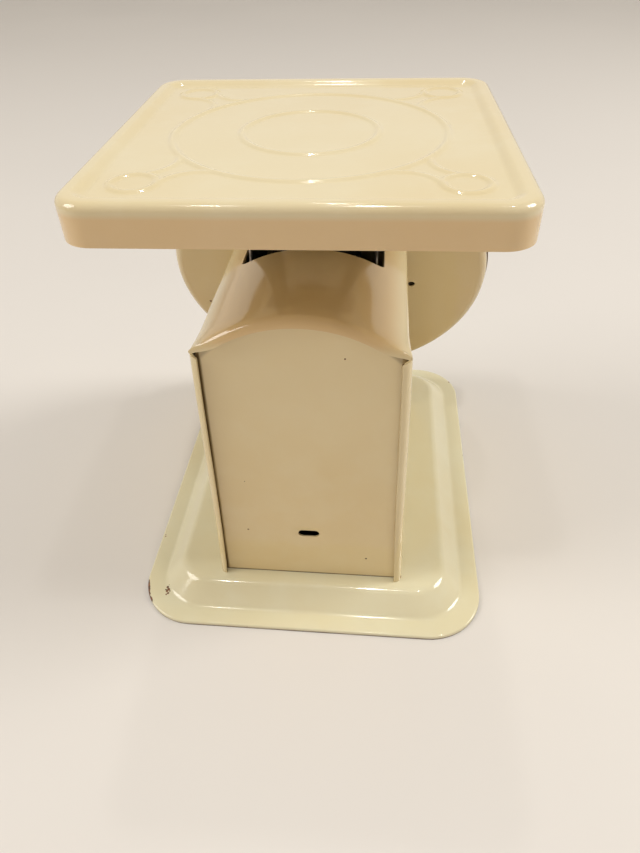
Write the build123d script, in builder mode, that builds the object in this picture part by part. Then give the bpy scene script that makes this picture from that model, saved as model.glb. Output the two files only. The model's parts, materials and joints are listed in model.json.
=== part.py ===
from build123d import *
import os
from math import asin, cos, pi, radians, sin, sqrt, tan

# Household spring dial scale in pressed steel. Millimetres, +Z up. The origin is the centre of
# the base's outline on the surface it stands on. The dial faces -Y and leans back at its top.

# ---- driving dimensions -------------------------------------------------------------------
sheet = 1.0                 # pressed steel sheet

base_width, base_depth = 176.5, 225.5
base_corner = 28.0
base_hem = 2.2              # height of the flat flange with its turned-down edge
flange_width = 9.5
riser_angle = 45.0
base_top = 12.0             # height of the plateau the column stands on
base_top_bend, base_foot_bend = 6.0, 4.0
hem_round = 0.9

tray_size = 156.5
tray_corner = 12.0
tray_top = 214.0            # top of the raised rim
tray_skirt = 14.5
tray_sheet = 0.9
tray_y = 21.6               # the tray's centre lies behind the base's centre
rim_width = 6.5
rim_step = 1.8
field_corner = 6.0
ring_radii = (27.0, 54.0)   # pressed rings, concentric with the tray
corner_ring_radius = 8.0
corner_ring_offset = 55.6
bead_width, bead_height = 3.6, 0.7

column_half_floor = 47.6    # half-width of the column, extended down to the floor
column_half_spring = 42.3   # half-width where the arched roof starts
spring_line = 150.0         # height where the arched roof starts
roof_crown = 167.0
column_rear = 88.4          # rearmost line of the rolled flanges
column_toe = -88.0          # front of the column at its foot
flange_roll = 4.0           # radius of the rolled rear flanges
panel_recess = 3.0          # how far the rear panel sits inside the flanges
panel_inset = 1.9
slot_length, slot_height, slot_z = 10.4, 4.0, 43.0
opening_half_width = 32.0
opening_rear, opening_front = 31.0, -16.0
opening_corner = 3.5
notch_reach, notch_depth, notch_width, notch_angle = 7.0, 4.6, 1.4, 45.0
panel_lip = 8.0             # depth of the rear panel's turned edge
tab_inner_x, tab_width = 35.0, 14.0

dial_tilt = 20.0            # degrees that the dial leans back
dial_y, dial_z = -57.5, 105.3
dial_radius = 91.2
case_depth = 13.2
case_sheet = 0.8
case_roll = 5.0
case_hole_x, case_hole_y, case_hole_r = 48.8, -2.5, 2.0

pitch_radius = 2.0          # drive pinion
pinion_teeth = 8
tooth_root, tooth_tip = 0.62, 0.42          # pinion's depth and height from its pitch circle
tooth_half_root, tooth_half_pitch, tooth_half_tip = 0.33, 0.28, 0.12
rack_root, rack_tip = 0.60, 0.40            # rack's depth and height from its pitch line
rack_half_root, rack_half_tip = 0.50, 0.22
rack_first_tooth, rack_last_tooth = -2, 8
pointer_sweep = 336.0       # degrees from no load to full load
load_travel = radians(pointer_sweep) * pitch_radius / cos(radians(dial_tilt))

link_length = 50.0
frame_pivot_y = 66.0
upper_pivot_z, lower_pivot_z = 132.0, 45.0
pin_radius = 1.5
running = 0.05              # radial clearance of a running fit
overrun = 40.0              # how far cutting solids reach past what they cut

column_screw_spots = [(40.0, 62.0), (-40.0, 62.0), (40.0, -50.0), (-40.0, -50.0)]
frame_screw_spots = [(27.0, 34.0), (-27.0, 34.0), (27.0, 64.0), (-27.0, 64.0)]
case_screw_spots = [(30.0, 30.0), (-30.0, 30.0), (30.0, -30.0), (-30.0, -30.0)]
bridge_screw_spots = [(23.0, 0.0), (-23.0, 0.0)]
screw_radius, screw_head, screw_head_height = 1.7, 3.2, 2.0
foot_screw_length, frame_screw_length, case_screw_length = 4.0, 5.0, 5.0
arm_screw_head, arm_screw_proud = 2.56, 0.8
clip_radius, clip_thickness = 3.0, 0.8
frame_pin_proud, yoke_pin_proud = 0.9, 0.8      # how far the pins stand out of their clips

tray_bend = 3.0
spider_sheet, spider_span, spider_arm = 1.5, 140.0, 20.0
spider_hub, spider_hub_y, spider_hub_corner = 60.0, 12.5, 6.0
spider_rivet_spots = [(18.0, -2.0), (-18.0, -2.0), (18.0, 18.0), (-18.0, 18.0)]
rivet_radius, rivet_head, rivet_head_height = 2.0, 3.6, 1.8

yoke_half_width, yoke_sheet = 28.6, 1.5
yoke_front, yoke_rear = -10.0, 25.8
yoke_waist_y, yoke_waist_z, yoke_foot = 21.0, 124.0, 44.0
waist_taper = 8.0           # height over which the rear edge steps in
front_inset, front_taper_low, front_taper_high = 4.0, 30.0, 22.0
pin_slot_radius, pin_slot_play = pin_radius + 0.08, 0.45     # the links' open pivots
crossbar_top, crossbar_height, crossbar_width = 56.5, 2.0, 17.0
strap_low, strap_high, strap_screw_z, strap_screw_x = 112.0, 126.0, 119.0, (-4.0, 11.5)
arm_x, arm_thickness, arm_grip = 3.6, 3.0, 5.5
arm_plate_left, arm_plate_right = -7.5, 15.0

frame_inner, frame_sheet = 18.5, 1.8
frame_rear, frame_front, frame_toe = 76.0, -6.0, 20.0
frame_top, frame_arm, frame_back, frame_foot = 156.0, 11.0, 16.0, 14.0
frame_foot_edge, frame_window, frame_window_width = 32.0, 100.0, 20.0
bridge_bar_width, bridge_bar_height = 20.0, 2.5
link_outer, link_sheet, link_height, link_web = 24.5, 1.5, 9.0, 16.0
carrier_bottom, carrier_height, carrier_width, carrier_half_length = 136.0, 4.0, 12.0, 16.5
carrier_corner, bridge_corner = 3.0, 2.0
stud_radius, stud_top, stud_chamfer, stud_clearance = 2.0, 178.0, 0.6, 0.2
washer_radius = 7.0
knob_shank, knob_bottom, knob_height, knob_radius = 5.0, 168.5, 7.0, 10.0
knob_grooves, knob_groove_radius = 30, 0.7
plug_shoulder, plug_stem, plug_stem_length, plug_chamfer = 6.9, 4.9, 9.0, 1.0
coil_seat = 0.1             # gap between a spring's end turn and its plug's shoulder
stop_radius, pad_radius, pad_height, pad_round, stop_gap = 5.0, 6.0, 3.0, 0.8, 0.4

spring_y = 4.0
spring_x = 8.5
coil_radius, wire_radius = 6.0, 1.0
coil_pitch, coil_turns = 2.99, 22
coil_bottom = 67.1          # height of the wire's centre at the lowest turn

nut_radius, nut_height = 3.4, 2.6
pillar_circle, pillar_radius = 62.0, 2.5
plate_radius, plate_back, plate_thickness = 89.0, 6.4, 0.6
glass_radius, glass_thickness = 91.0, 2.0
bezel_sheet, bezel_grip, bezel_opening = 0.9, 5.0, 85.0
pan_crown, pan_side = 0.7, 0.45     # crown radius and side height of a screw head, as shares
hand_height = 9.8           # rear face of the pointer, over the back of the case
hand_length, hand_tail, hand_root, hand_tip_width, hand_thickness = 74.0, 24.0, 2.6, 1.0, 0.5
hand_boss, hand_taper, hand_weight_radius = 7.1, 8.0, 5.7
tail_half_root, tail_half_end = 2.1, 3.1
hub_radius, hub_crown_radius, hub_below, hub_above = 3.6, 2.4, 1.6, 2.2

arbor_radius = 1.0
arbor_reach = 2.5           # how far the arbor stands out of its bushes' ends
bush_radius, bush_flange, rear_bush_radius = 3.5, 5.5, 3.0
bush_flange_height, bush_proud = 2.2, 1.6
rear_bush_shoulder, rear_bush_lip, rear_bush_proud = 1.5, 1.0, 1.2
bridge_depth = 30.0         # rear face of the arbor bridge, behind the dial case
bridge_half_width, bridge_height, bridge_sheet, bridge_foot = 19.0, 10.0, 1.5, 8.0
pinion_back, pinion_width = -21.0, 3.5
rack_rear, rack_width = -21.5, 9.0
rack_back_x, rack_bottom, rack_top = 7.0, -4.0, 24.0

# ---- planes and shared outlines --------------------------------------------------------------
tilt = radians(dial_tilt)
dial_normal = (0, -cos(tilt), sin(tilt))
dial_centre = (0, dial_y, dial_z)
dial_axis = Axis(dial_centre, dial_normal)
# Section through the dial's axis: local x is the radius, local y runs forward along the axis.
dial_section = Plane(dial_centre, x_dir=(1, 0, 0), z_dir=(0, -sin(tilt), -cos(tilt)))

roof_rise = roof_crown - spring_line
roof_radius = (column_half_spring**2 + roof_rise**2) / (2 * roof_rise)
side_lean = (column_half_floor - column_half_spring) / spring_line
pivot_swing = asin(load_travel / 2 / link_length)   # links swing this far each way
moving_pin_y = frame_pivot_y - link_length * cos(pivot_swing)
moving_pin_rise = load_travel / 2


def at_height(h):
    return Plane.XY.offset(h)


def facing_rear(y):
    """A plane across the column at y, whose normal points to the front (-Y)."""
    return Plane.XZ.offset(-y)


def dial_plane(h):
    """A plane parallel to the dial, h in front of the back of its case."""
    origin = Vector(*dial_centre) + Vector(*dial_normal) * h
    return Plane(origin, x_dir=(1, 0, 0), z_dir=dial_normal)


def side_x(z):
    """Half-width of the column at height z, outside."""
    return column_half_floor - side_lean * z


def arch_outline(inset, foot=-4.0):
    """Edges of the column's section, moved inward by inset. The foot runs below the plateau."""
    shift = inset * sqrt(1 + side_lean**2)
    radius = roof_radius - inset
    centre_z = roof_crown - roof_radius
    # Where the inset side line meets the inset roof arc.
    a = 1 + side_lean**2
    b = -2 * side_lean * (column_half_floor - shift) - 2 * centre_z
    c = (column_half_floor - shift) ** 2 + centre_z**2 - radius**2
    corner_z = (-b + sqrt(b * b - 4 * a * c)) / (2 * a)
    corner_x = side_x(corner_z) - shift
    foot_x = side_x(foot) - shift
    Polyline((-corner_x, corner_z), (-foot_x, foot), (foot_x, foot), (corner_x, corner_z))
    ThreePointArc((corner_x, corner_z), (0, roof_crown - inset), (-corner_x, corner_z))


def front_profile(inset, rear=120.0, top=200.0, foot=-5.0):
    """YZ outline of everything behind the column's front: a short toe, then the dial's slope."""
    toe = column_toe + inset
    slope_y = dial_y + inset / cos(tilt)
    bend_z = dial_z + (toe - slope_y) / tan(tilt)
    top_y = slope_y + (top - dial_z) * tan(tilt)
    Polyline((rear, foot), (toe, foot), (toe, bend_z), (top_y, top), (rear, top), close=True)


def pan_screw(length, shank, head, head_height):
    """Half-section of a pan-head screw, with its head below z = 0 and its shank going up."""
    Polyline(
        (0, -head_height), (head * pan_crown, -head_height), (head, -head_height * pan_side),
        (head, 0), (shank, 0), (shank, length), (0, length), close=True,
    )


os.makedirs("parts", exist_ok=True)


def save(piece, label):
    piece.part.label = label
    export_step(piece.part, f"parts/{label}.step")


def screw_group(origins, direction, length, shank, head, head_height):
    """Pan-head screws whose shanks start at the origins and run along direction."""
    with BuildPart() as group:
        for origin in origins:
            across = Vector(1, 0, 0).cross(Vector(*direction))
            with BuildSketch(Plane(origin, x_dir=(1, 0, 0), z_dir=across)):
                with BuildLine():
                    pan_screw(length, shank, head, head_height)
                make_face()
            revolve(axis=Axis(origin, direction))
    return group


def rods(radius, half_length, centres):
    """Round rods that lie across the column, centred on X = 0, at the given (y, z) places."""
    with BuildPart() as group:
        with BuildSketch(Plane.YZ.offset(-half_length)):
            with Locations(*centres):
                Circle(radius)
        extrude(amount=2 * half_length)
    return group


def rod_clips(x_inner, centres):
    """Retaining rings on both ends of such rods; x_inner is the face they bear on."""
    with BuildPart() as group:
        with BuildSketch(Plane.YZ.offset(x_inner)):
            with Locations(*centres):
                Circle(clip_radius)
                Circle(pin_radius, mode=Mode.SUBTRACT)
        extrude(amount=clip_thickness)
        mirror(about=Plane.YZ)
    return group


def dial_point(up, forward):
    """(y, z) of a point in the column's middle plane, from its place on the dial's axes."""
    return (
        dial_y + up * sin(tilt) - forward * cos(tilt),
        dial_z + up * cos(tilt) + forward * sin(tilt),
    )


# ---- base pan ---------------------------------------------------------------------------------
def base_solid(inset, top_bend, foot_bend):
    """The base's stepped outside shape, moved inward by inset."""
    step = flange_width + inset * tan(radians(riser_angle / 2))
    with BuildPart() as solid:
        with BuildSketch():
            RectangleRounded(base_width - 2 * inset, base_depth - 2 * inset, base_corner - inset)
        extrude(amount=base_hem - inset)
        with BuildSketch(at_height(base_hem - inset)):
            RectangleRounded(base_width - 2 * step, base_depth - 2 * step, base_corner - step)
        extrude(amount=base_top - base_hem, taper=riser_angle)
        ledge = solid.faces().filter_by(Axis.Z).sort_by(Axis.Z)[1]
        fillet(ledge.inner_wires()[0].edges(), radius=foot_bend)
        fillet(solid.faces().sort_by(Axis.Z)[-1].edges(), radius=top_bend)
    return solid


base_skin = base_solid(0, base_top_bend, base_foot_bend)
base_hollow = base_solid(sheet, base_top_bend - sheet, base_foot_bend + sheet)
with BuildPart() as base_pan:
    add(base_skin.part)
    rim_edges = base_pan.faces().filter_by(Axis.Z).sort_by(Axis.Z)[1].outer_wire().edges()
    fillet(rim_edges, radius=hem_round)
    add(base_hollow.part, mode=Mode.SUBTRACT)
    with Locations(*[(x, y, base_top) for x, y in column_screw_spots + frame_screw_spots]):
        Cylinder(screw_radius + running, 4 * sheet, mode=Mode.SUBTRACT)
save(base_pan, "base_pan")


# ---- column ---------------------------------------------------------------------------------
def column_block(inset, rear, front, roll=0.0):
    """Solid of the column's section from y = rear to y = front, with rolled rear edges."""
    with BuildPart() as block:
        with BuildSketch(facing_rear(rear)):
            with BuildLine():
                arch_outline(inset)
            make_face()
        extrude(amount=rear - front)
        if roll:
            rear_edges = block.faces().sort_by(Axis.Y)[-1].edges()
            fillet(rear_edges.sort_by(Axis.Z)[1:], radius=roll)
    return block


def front_block(inset):
    """Solid of everything behind the column's front, moved inward by inset."""
    with BuildPart() as block:
        with BuildSketch(Plane.YZ.offset(-base_width)):
            with BuildLine():
                front_profile(inset)
            make_face()
        extrude(amount=2 * base_width)
    return block


# Everything under the base's plateau, which the column stands on.
with BuildPart() as below_plateau:
    with BuildSketch(at_height(base_top)):
        Rectangle(2 * base_width, 2 * base_depth)
    extrude(amount=-overrun)

column_skin = column_block(0, column_rear, column_toe - overrun, flange_roll)
column_hollow = column_block(
    sheet, column_rear - sheet, column_toe - overrun - sheet, flange_roll - sheet)
rear_window = column_block(flange_roll, column_rear + 1, column_rear - flange_roll)
with BuildPart() as housing_shell:
    add(column_skin.part)
    add(column_hollow.part, mode=Mode.SUBTRACT)
    add(rear_window.part, mode=Mode.SUBTRACT)
    # Relief notches where the side flanges meet the roof's flange.
    for side in (-1, 1):
        corner = (side * (column_half_spring - notch_reach / 2), column_rear, spring_line)
        with Locations(Location(corner, (0, side * notch_angle, 0))):
            Box(2 * notch_reach, 2 * notch_depth, notch_width, mode=Mode.SUBTRACT)
    # Opening in the roof, where the yoke comes through.
    with BuildSketch(at_height(spring_line)):
        with Locations((0, (opening_rear + opening_front) / 2)):
            RectangleRounded(2 * opening_half_width, opening_rear - opening_front, opening_corner)
    extrude(amount=roof_rise + 2, mode=Mode.SUBTRACT)
    # Tabs turned inward at the foot.
    for x, y in column_screw_spots:
        reach = side_x(base_top) - sheet / 2 - tab_inner_x
        middle = (tab_inner_x + reach / 2) * (1 if x > 0 else -1)
        with Locations((middle, y, base_top + sheet / 2)):
            Box(reach, tab_width, sheet)
    with Locations(*[(x, y, base_top) for x, y in column_screw_spots]):
        Cylinder(screw_radius + running, 4 * sheet, mode=Mode.SUBTRACT)
    add(front_block(0).part, mode=Mode.INTERSECT)
    add(below_plateau.part, mode=Mode.SUBTRACT)
save(housing_shell, "housing_shell")

panel_face = column_rear - panel_recess
with BuildPart() as rear_panel:
    add(column_block(sheet, column_rear - flange_roll, panel_face - panel_lip).part)
    add(column_block(panel_inset, panel_face, panel_face - panel_lip).part)
    add(column_block(panel_inset + sheet, panel_face - sheet, panel_face - panel_lip - 1).part,
        mode=Mode.SUBTRACT)
    with BuildSketch(facing_rear(panel_face + 1)):
        with Locations((0, slot_z)):
            SlotOverall(slot_length, slot_height)
    extrude(amount=2 + sheet, mode=Mode.SUBTRACT)
    add(below_plateau.part, mode=Mode.SUBTRACT)
save(rear_panel, "rear_panel")

with BuildPart() as front_plate:
    add(column_block(sheet, 0, column_toe - overrun).part)
    add(front_block(0).part, mode=Mode.INTERSECT)
    add(front_block(sheet).part, mode=Mode.SUBTRACT)
    add(below_plateau.part, mode=Mode.SUBTRACT)
    with BuildSketch(dial_plane(-3)):
        Circle(bush_radius)
        with Locations(*case_screw_spots, *bridge_screw_spots):
            Circle(screw_radius + running)
    extrude(amount=6, mode=Mode.SUBTRACT)
save(front_plate, "front_plate")

housing_screws = screw_group(
    [(x, y, base_top - sheet) for x, y in column_screw_spots], (0, 0, 1),
    foot_screw_length, screw_radius, screw_head, screw_head_height)
save(housing_screws, "housing_screws")

# ---- dial case ------------------------------------------------------------------------------
def dial_drum(radius, back, front, roll):
    """Solid drum on the dial's axis with a rolled rear edge."""
    with BuildPart() as drum:
        with BuildSketch(dial_plane(back)):
            Circle(radius)
        extrude(amount=front - back)
        fillet(drum.faces().sort_by(dial_axis)[0].edges(), radius=roll)
    return drum


def dial_disc(radius, back, front, hole=0.0):
    """Flat round plate on the dial's axis, with an optional centre hole."""
    with BuildPart() as disc:
        with BuildSketch(dial_plane(back)):
            Circle(radius)
            if hole:
                Circle(hole, mode=Mode.SUBTRACT)
        extrude(amount=front - back)
    return disc


def dial_turned(points):
    """Solid turned about the dial's axis from a closed outline of (radius, height) points."""
    with BuildPart() as turned:
        with BuildSketch(dial_section):
            with BuildLine():
                Polyline(*points, close=True)
            make_face()
        revolve(axis=dial_axis)
    return turned


with BuildPart() as dial_case:
    add(dial_drum(dial_radius, 0, case_depth, case_roll).part)
    add(dial_drum(dial_radius - case_sheet, case_sheet, case_depth + 5,
                  case_roll - case_sheet).part, mode=Mode.SUBTRACT)
    with BuildSketch(dial_plane(-1)):
        Circle(bush_radius)
        with Locations((case_hole_x, case_hole_y), (-case_hole_x, case_hole_y)):
            Circle(case_hole_r)
        with Locations(*case_screw_spots):
            Circle(screw_radius + running)
    extrude(amount=3, mode=Mode.SUBTRACT)
save(dial_case, "dial_case")


def dial_spots(spots, height):
    """Points in the part's frame, from (across, up) places at a height over the case's back."""
    return [tuple(dial_plane(height).from_local_coords(Vector(x, y, 0))) for x, y in spots]


case_screws = screw_group(
    dial_spots(case_screw_spots, case_sheet), tuple(-c for c in dial_normal),
    case_screw_length, screw_radius, screw_head, screw_head_height)
save(case_screws, "case_screws")

with BuildPart() as case_nuts:
    with BuildSketch(dial_plane(-sheet - nut_height)):
        with Locations(*case_screw_spots):
            RegularPolygon(nut_radius, 6)
            Circle(screw_radius, mode=Mode.SUBTRACT)
    extrude(amount=nut_height)
save(case_nuts, "case_nuts")

with BuildPart() as dial_pillars:
    with BuildSketch(dial_plane(case_sheet)):
        with PolarLocations(pillar_circle, 3, start_angle=90):
            Circle(pillar_radius)
    extrude(amount=plate_back - case_sheet)
save(dial_pillars, "dial_pillars")

dial_plate = dial_disc(plate_radius, plate_back, plate_back + plate_thickness, hole=bush_radius)
save(dial_plate, "dial_plate")

dial_glass = dial_disc(glass_radius, case_depth, case_depth + glass_thickness)
save(dial_glass, "dial_glass")

bezel_front = case_depth + glass_thickness + bezel_sheet
bezel_inner = dial_radius + running
bezel_ring = dial_turned([
    (bezel_inner, case_depth - bezel_grip), (bezel_inner + bezel_sheet, case_depth - bezel_grip),
    (bezel_inner + bezel_sheet, bezel_front - 2 * bezel_sheet),
    (bezel_inner, bezel_front), (bezel_opening, bezel_front),
    (bezel_opening, bezel_front - bezel_sheet), (bezel_inner, bezel_front - bezel_sheet),
])
save(bezel_ring, "bezel_ring")

# ---- pointer, arbor and drive -----------------------------------------------------------------
arbor_tail = -bridge_depth - arbor_reach
arbor_tip = hand_height + arbor_reach
pointer_arbor = dial_disc(arbor_radius, arbor_tail, arbor_tip)
save(pointer_arbor, "pointer_arbor")

bore = arbor_radius + running
bush_back = -sheet - bush_flange_height
bush_nose = case_sheet + bush_proud
arbor_bush_front = dial_turned([
    (bore, bush_back), (bush_flange, bush_back), (bush_flange, -sheet), (bush_radius, -sheet),
    (bush_radius, bush_nose), (bore, bush_nose),
])
save(arbor_bush_front, "arbor_bush_front")

bridge_plate = -bridge_depth + bridge_sheet     # front face of the bridge's plate
rear_bush_back = -bridge_depth - rear_bush_proud
rear_bush_edge = rear_bush_radius + rear_bush_shoulder
rear_bush_nose = bridge_plate + rear_bush_lip
arbor_bush_rear = dial_turned([
    (bore, rear_bush_back), (rear_bush_radius, rear_bush_back),
    (rear_bush_radius, bridge_plate), (rear_bush_edge, bridge_plate),
    (rear_bush_edge, rear_bush_nose), (bore, rear_bush_nose),
])
save(arbor_bush_rear, "arbor_bush_rear")

with BuildPart() as arbor_bridge:
    with BuildSketch(dial_plane(-bridge_depth)):
        Rectangle(2 * bridge_half_width, bridge_height)
        Circle(rear_bush_radius, mode=Mode.SUBTRACT)
    extrude(amount=bridge_sheet)
    with BuildSketch(dial_plane(-bridge_depth)):
        for side in (-1, 1):
            with Locations((side * (bridge_half_width - bridge_sheet / 2), 0)):
                Rectangle(bridge_sheet, bridge_height)
    extrude(amount=bridge_depth - sheet)
    with BuildSketch(dial_plane(-sheet - bridge_sheet)):
        for side in (-1, 1):
            with Locations((side * (bridge_half_width + bridge_foot / 2), 0)):
                Rectangle(bridge_foot, bridge_height)
        with Locations(*bridge_screw_spots):
            Circle(screw_radius + running, mode=Mode.SUBTRACT)
    extrude(amount=bridge_sheet)
save(arbor_bridge, "arbor_bridge")

arbor_bridge_screws = screw_group(
    dial_spots(bridge_screw_spots, -sheet - bridge_sheet), dial_normal,
    sheet + bridge_sheet - running, screw_radius, screw_head, screw_head_height)
save(arbor_bridge_screws, "arbor_bridge_screws")

tooth_pitch = 2 * pi * pitch_radius / pinion_teeth
with BuildPart() as drive_pinion:
    with BuildSketch(dial_plane(pinion_back)):
        Circle(pitch_radius - tooth_root)
        with PolarLocations(0, pinion_teeth):
            Polygon(
                (arbor_radius / 2, -tooth_half_root), (pitch_radius, -tooth_half_pitch),
                (pitch_radius + tooth_tip, -tooth_half_tip),
                (pitch_radius + tooth_tip, tooth_half_tip),
                (pitch_radius, tooth_half_pitch), (arbor_radius / 2, tooth_half_root), align=None)
        Circle(arbor_radius, mode=Mode.SUBTRACT)
    extrude(amount=pinion_width)
save(drive_pinion, "drive_pinion")

rack_root_x = pitch_radius + rack_root
rack_tip_x = pitch_radius - rack_tip
rack_outline = [(rack_back_x, rack_top), (rack_back_x, rack_bottom), (rack_root_x, rack_bottom)]
for tooth in range(rack_first_tooth, rack_last_tooth + 1):
    middle = (tooth + 0.5) * tooth_pitch
    rack_outline += [
        (rack_root_x, middle - rack_half_root), (rack_tip_x, middle - rack_half_tip),
        (rack_tip_x, middle + rack_half_tip), (rack_root_x, middle + rack_half_root)]
rack_outline += [(rack_root_x, rack_top)]
with BuildPart() as rack:
    with BuildSketch(dial_plane(rack_rear)):
        with BuildLine():
            Polyline(*rack_outline, close=True)
        make_face()
    extrude(amount=rack_width)
save(rack, "rack")

hub_back, hub_crown = hand_height - hub_below, hand_height + hub_above
pointer_hub = dial_turned([
    (arbor_radius, hub_back), (hub_radius, hub_back), (hub_radius, hand_height + hand_thickness),
    (hub_crown_radius, hub_crown), (arbor_radius, hub_crown),
])
save(pointer_hub, "pointer_hub")

with BuildPart() as pointer:
    with BuildSketch(dial_plane(hand_height)):
        Circle(hand_boss)
        Polygon((-hand_root, 0), (hand_root, 0), (hand_tip_width, hand_length - hand_taper),
                (0, hand_length), (-hand_tip_width, hand_length - hand_taper), align=None)
        Polygon((-tail_half_root, 0), (-tail_half_end, -hand_tail),
                (tail_half_end, -hand_tail), (tail_half_root, 0), align=None)
        with Locations((0, -hand_tail)):
            Circle(hand_weight_radius)
        Circle(hub_radius, mode=Mode.SUBTRACT)
    extrude(amount=hand_thickness)
save(pointer, "pointer")

# ---- loading tray ----------------------------------------------------------------------------
def tray_slab(inset, low, high, corner=tray_corner):
    """Square slab, concentric with the tray, moved inward by inset."""
    size = tray_size - 2 * inset
    with BuildPart() as slab:
        with BuildSketch(at_height(low)):
            with Locations((0, tray_y)):
                RectangleRounded(size, size, corner)
        extrude(amount=high - low)
    return slab


field_top = tray_top - rim_step
field_under = field_top - tray_sheet
tray_bottom = tray_top - tray_skirt
with BuildPart() as platform:
    add(tray_slab(0, tray_bottom, tray_top).part)
    fillet(platform.faces().sort_by(Axis.Z)[-1].edges(), radius=tray_bend)
    add(tray_slab(rim_width, field_top, tray_top + 1, field_corner).part, mode=Mode.SUBTRACT)
    add(tray_slab(tray_sheet, tray_bottom, field_under, tray_corner - tray_sheet).part,
        mode=Mode.SUBTRACT)
    with BuildSketch(at_height(field_under)):
        with Locations((0, tray_y)):
            outer = tray_size - 2 * tray_bend
            inner = tray_size - 2 * rim_width + 2 * tray_sheet
            RectangleRounded(outer, outer, tray_corner - tray_bend)
            RectangleRounded(inner, inner, field_corner + tray_sheet, mode=Mode.SUBTRACT)
    extrude(amount=tray_top - tray_sheet - field_under, mode=Mode.SUBTRACT)
    # Raised beads: two rings round the middle and one in each corner.
    ring_list = [(0, tray_y, radius) for radius in ring_radii]
    for sx in (-1, 1):
        for sy in (-1, 1):
            ring_list.append((sx * corner_ring_offset, tray_y + sy * corner_ring_offset,
                              corner_ring_radius))
    for ring_x, ring_y, radius in ring_list:
        with BuildSketch(Plane((ring_x, ring_y, field_top), x_dir=(1, 0, 0), z_dir=(0, -1, 0))):
            with BuildLine():
                Line((radius - bead_width / 2, 0), (radius + bead_width / 2, 0))
                ThreePointArc((radius + bead_width / 2, 0), (radius, bead_height),
                              (radius - bead_width / 2, 0))
            make_face()
        revolve(axis=Axis((ring_x, ring_y, field_top), (0, 0, 1)))
save(platform, "platform")

with BuildPart() as platform_spider:
    with BuildSketch(at_height(field_under - spider_sheet)):
        for turn in (45, -45):
            with Locations(Location((0, tray_y), turn)):
                SlotOverall(spider_span, spider_arm)
        with Locations((0, spider_hub_y)):
            RectangleRounded(spider_hub, spider_hub, spider_hub_corner)
        with Locations(*spider_rivet_spots):
            Circle(rivet_radius, mode=Mode.SUBTRACT)
    extrude(amount=spider_sheet)
save(platform_spider, "platform_spider")

# ---- yoke and what rides on it ----------------------------------------------------------------
yoke_top = field_under - spider_sheet
with BuildPart() as yoke:
    with BuildSketch(Plane.YZ.offset(yoke_half_width - yoke_sheet)):
        with BuildLine():
            Polyline(
                (yoke_front, yoke_top), (yoke_rear, yoke_top), (yoke_rear, yoke_waist_z),
                (yoke_waist_y, yoke_waist_z - waist_taper), (yoke_waist_y, yoke_foot),
                (yoke_front + front_inset, yoke_foot),
                (yoke_front + front_inset, yoke_waist_z - front_taper_low),
                (yoke_front, yoke_waist_z - front_taper_high), close=True)
        make_face()
        for pivot_z in (upper_pivot_z, lower_pivot_z):
            with Locations(((2 * moving_pin_y - pin_slot_play) / 2, pivot_z + moving_pin_rise)):
                SlotOverall(2 * pin_slot_radius + pin_slot_play, 2 * pin_slot_radius, mode=Mode.SUBTRACT)
    extrude(amount=yoke_sheet)
    mirror(about=Plane.YZ)
    with BuildSketch(at_height(yoke_top - yoke_sheet)):
        with Locations((0, (yoke_front + yoke_rear) / 2)):
            Rectangle(2 * yoke_half_width, yoke_rear - yoke_front)
        with Locations(*spider_rivet_spots):
            Circle(rivet_radius, mode=Mode.SUBTRACT)
    extrude(amount=yoke_sheet)
    # Cross-member that the springs pull on, and the front strap that carries the rack arm.
    with BuildSketch(at_height(crossbar_top - crossbar_height)):
        with Locations((0, spring_y)):
            Rectangle(2 * yoke_half_width - yoke_sheet, crossbar_width)
    extrude(amount=crossbar_height)
    with BuildSketch(facing_rear(yoke_front + yoke_sheet)):
        with Locations((0, (strap_low + strap_high) / 2)):
            Rectangle(2 * yoke_half_width - yoke_sheet, strap_high - strap_low)
        with Locations(*[(x, strap_screw_z) for x in strap_screw_x]):
            Circle(screw_radius + running, mode=Mode.SUBTRACT)
    extrude(amount=yoke_sheet)
save(yoke, "yoke")

spider_rivets = screw_group(
    [(x, y, yoke_top - yoke_sheet) for x, y in spider_rivet_spots], (0, 0, 1),
    yoke_sheet + spider_sheet, rivet_radius, rivet_head, rivet_head_height)
save(spider_rivets, "spider_rivets")

arm_low_y, arm_low_z = dial_point(rack_top - arm_grip, rack_rear)
arm_high_y, arm_high_z = dial_point(rack_top, rack_rear)
with BuildPart() as rack_arm:
    with BuildSketch(Plane.YZ.offset(arm_x)):
        with BuildLine():
            Polyline((arm_low_y, arm_low_z), (arm_high_y, arm_high_z),
                     (yoke_front, arm_high_z), (yoke_front, arm_low_z), close=True)
        make_face()
    extrude(amount=arm_thickness)
    with BuildSketch(facing_rear(yoke_front)):
        with Locations(((arm_plate_left + arm_plate_right) / 2, (strap_low + strap_high) / 2)):
            Rectangle(arm_plate_right - arm_plate_left, strap_high - strap_low - 1)
        with Locations(*[(x, strap_screw_z) for x in strap_screw_x]):
            Circle(screw_radius + running, mode=Mode.SUBTRACT)
    extrude(amount=yoke_sheet)
save(rack_arm, "rack_arm")

rack_arm_screws = screw_group(
    [(x, yoke_front - yoke_sheet, strap_screw_z) for x in strap_screw_x], (0, 1, 0),
    2 * yoke_sheet + arm_screw_proud, screw_radius, arm_screw_head, screw_head_height)
save(rack_arm_screws, "rack_arm_screws")


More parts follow.
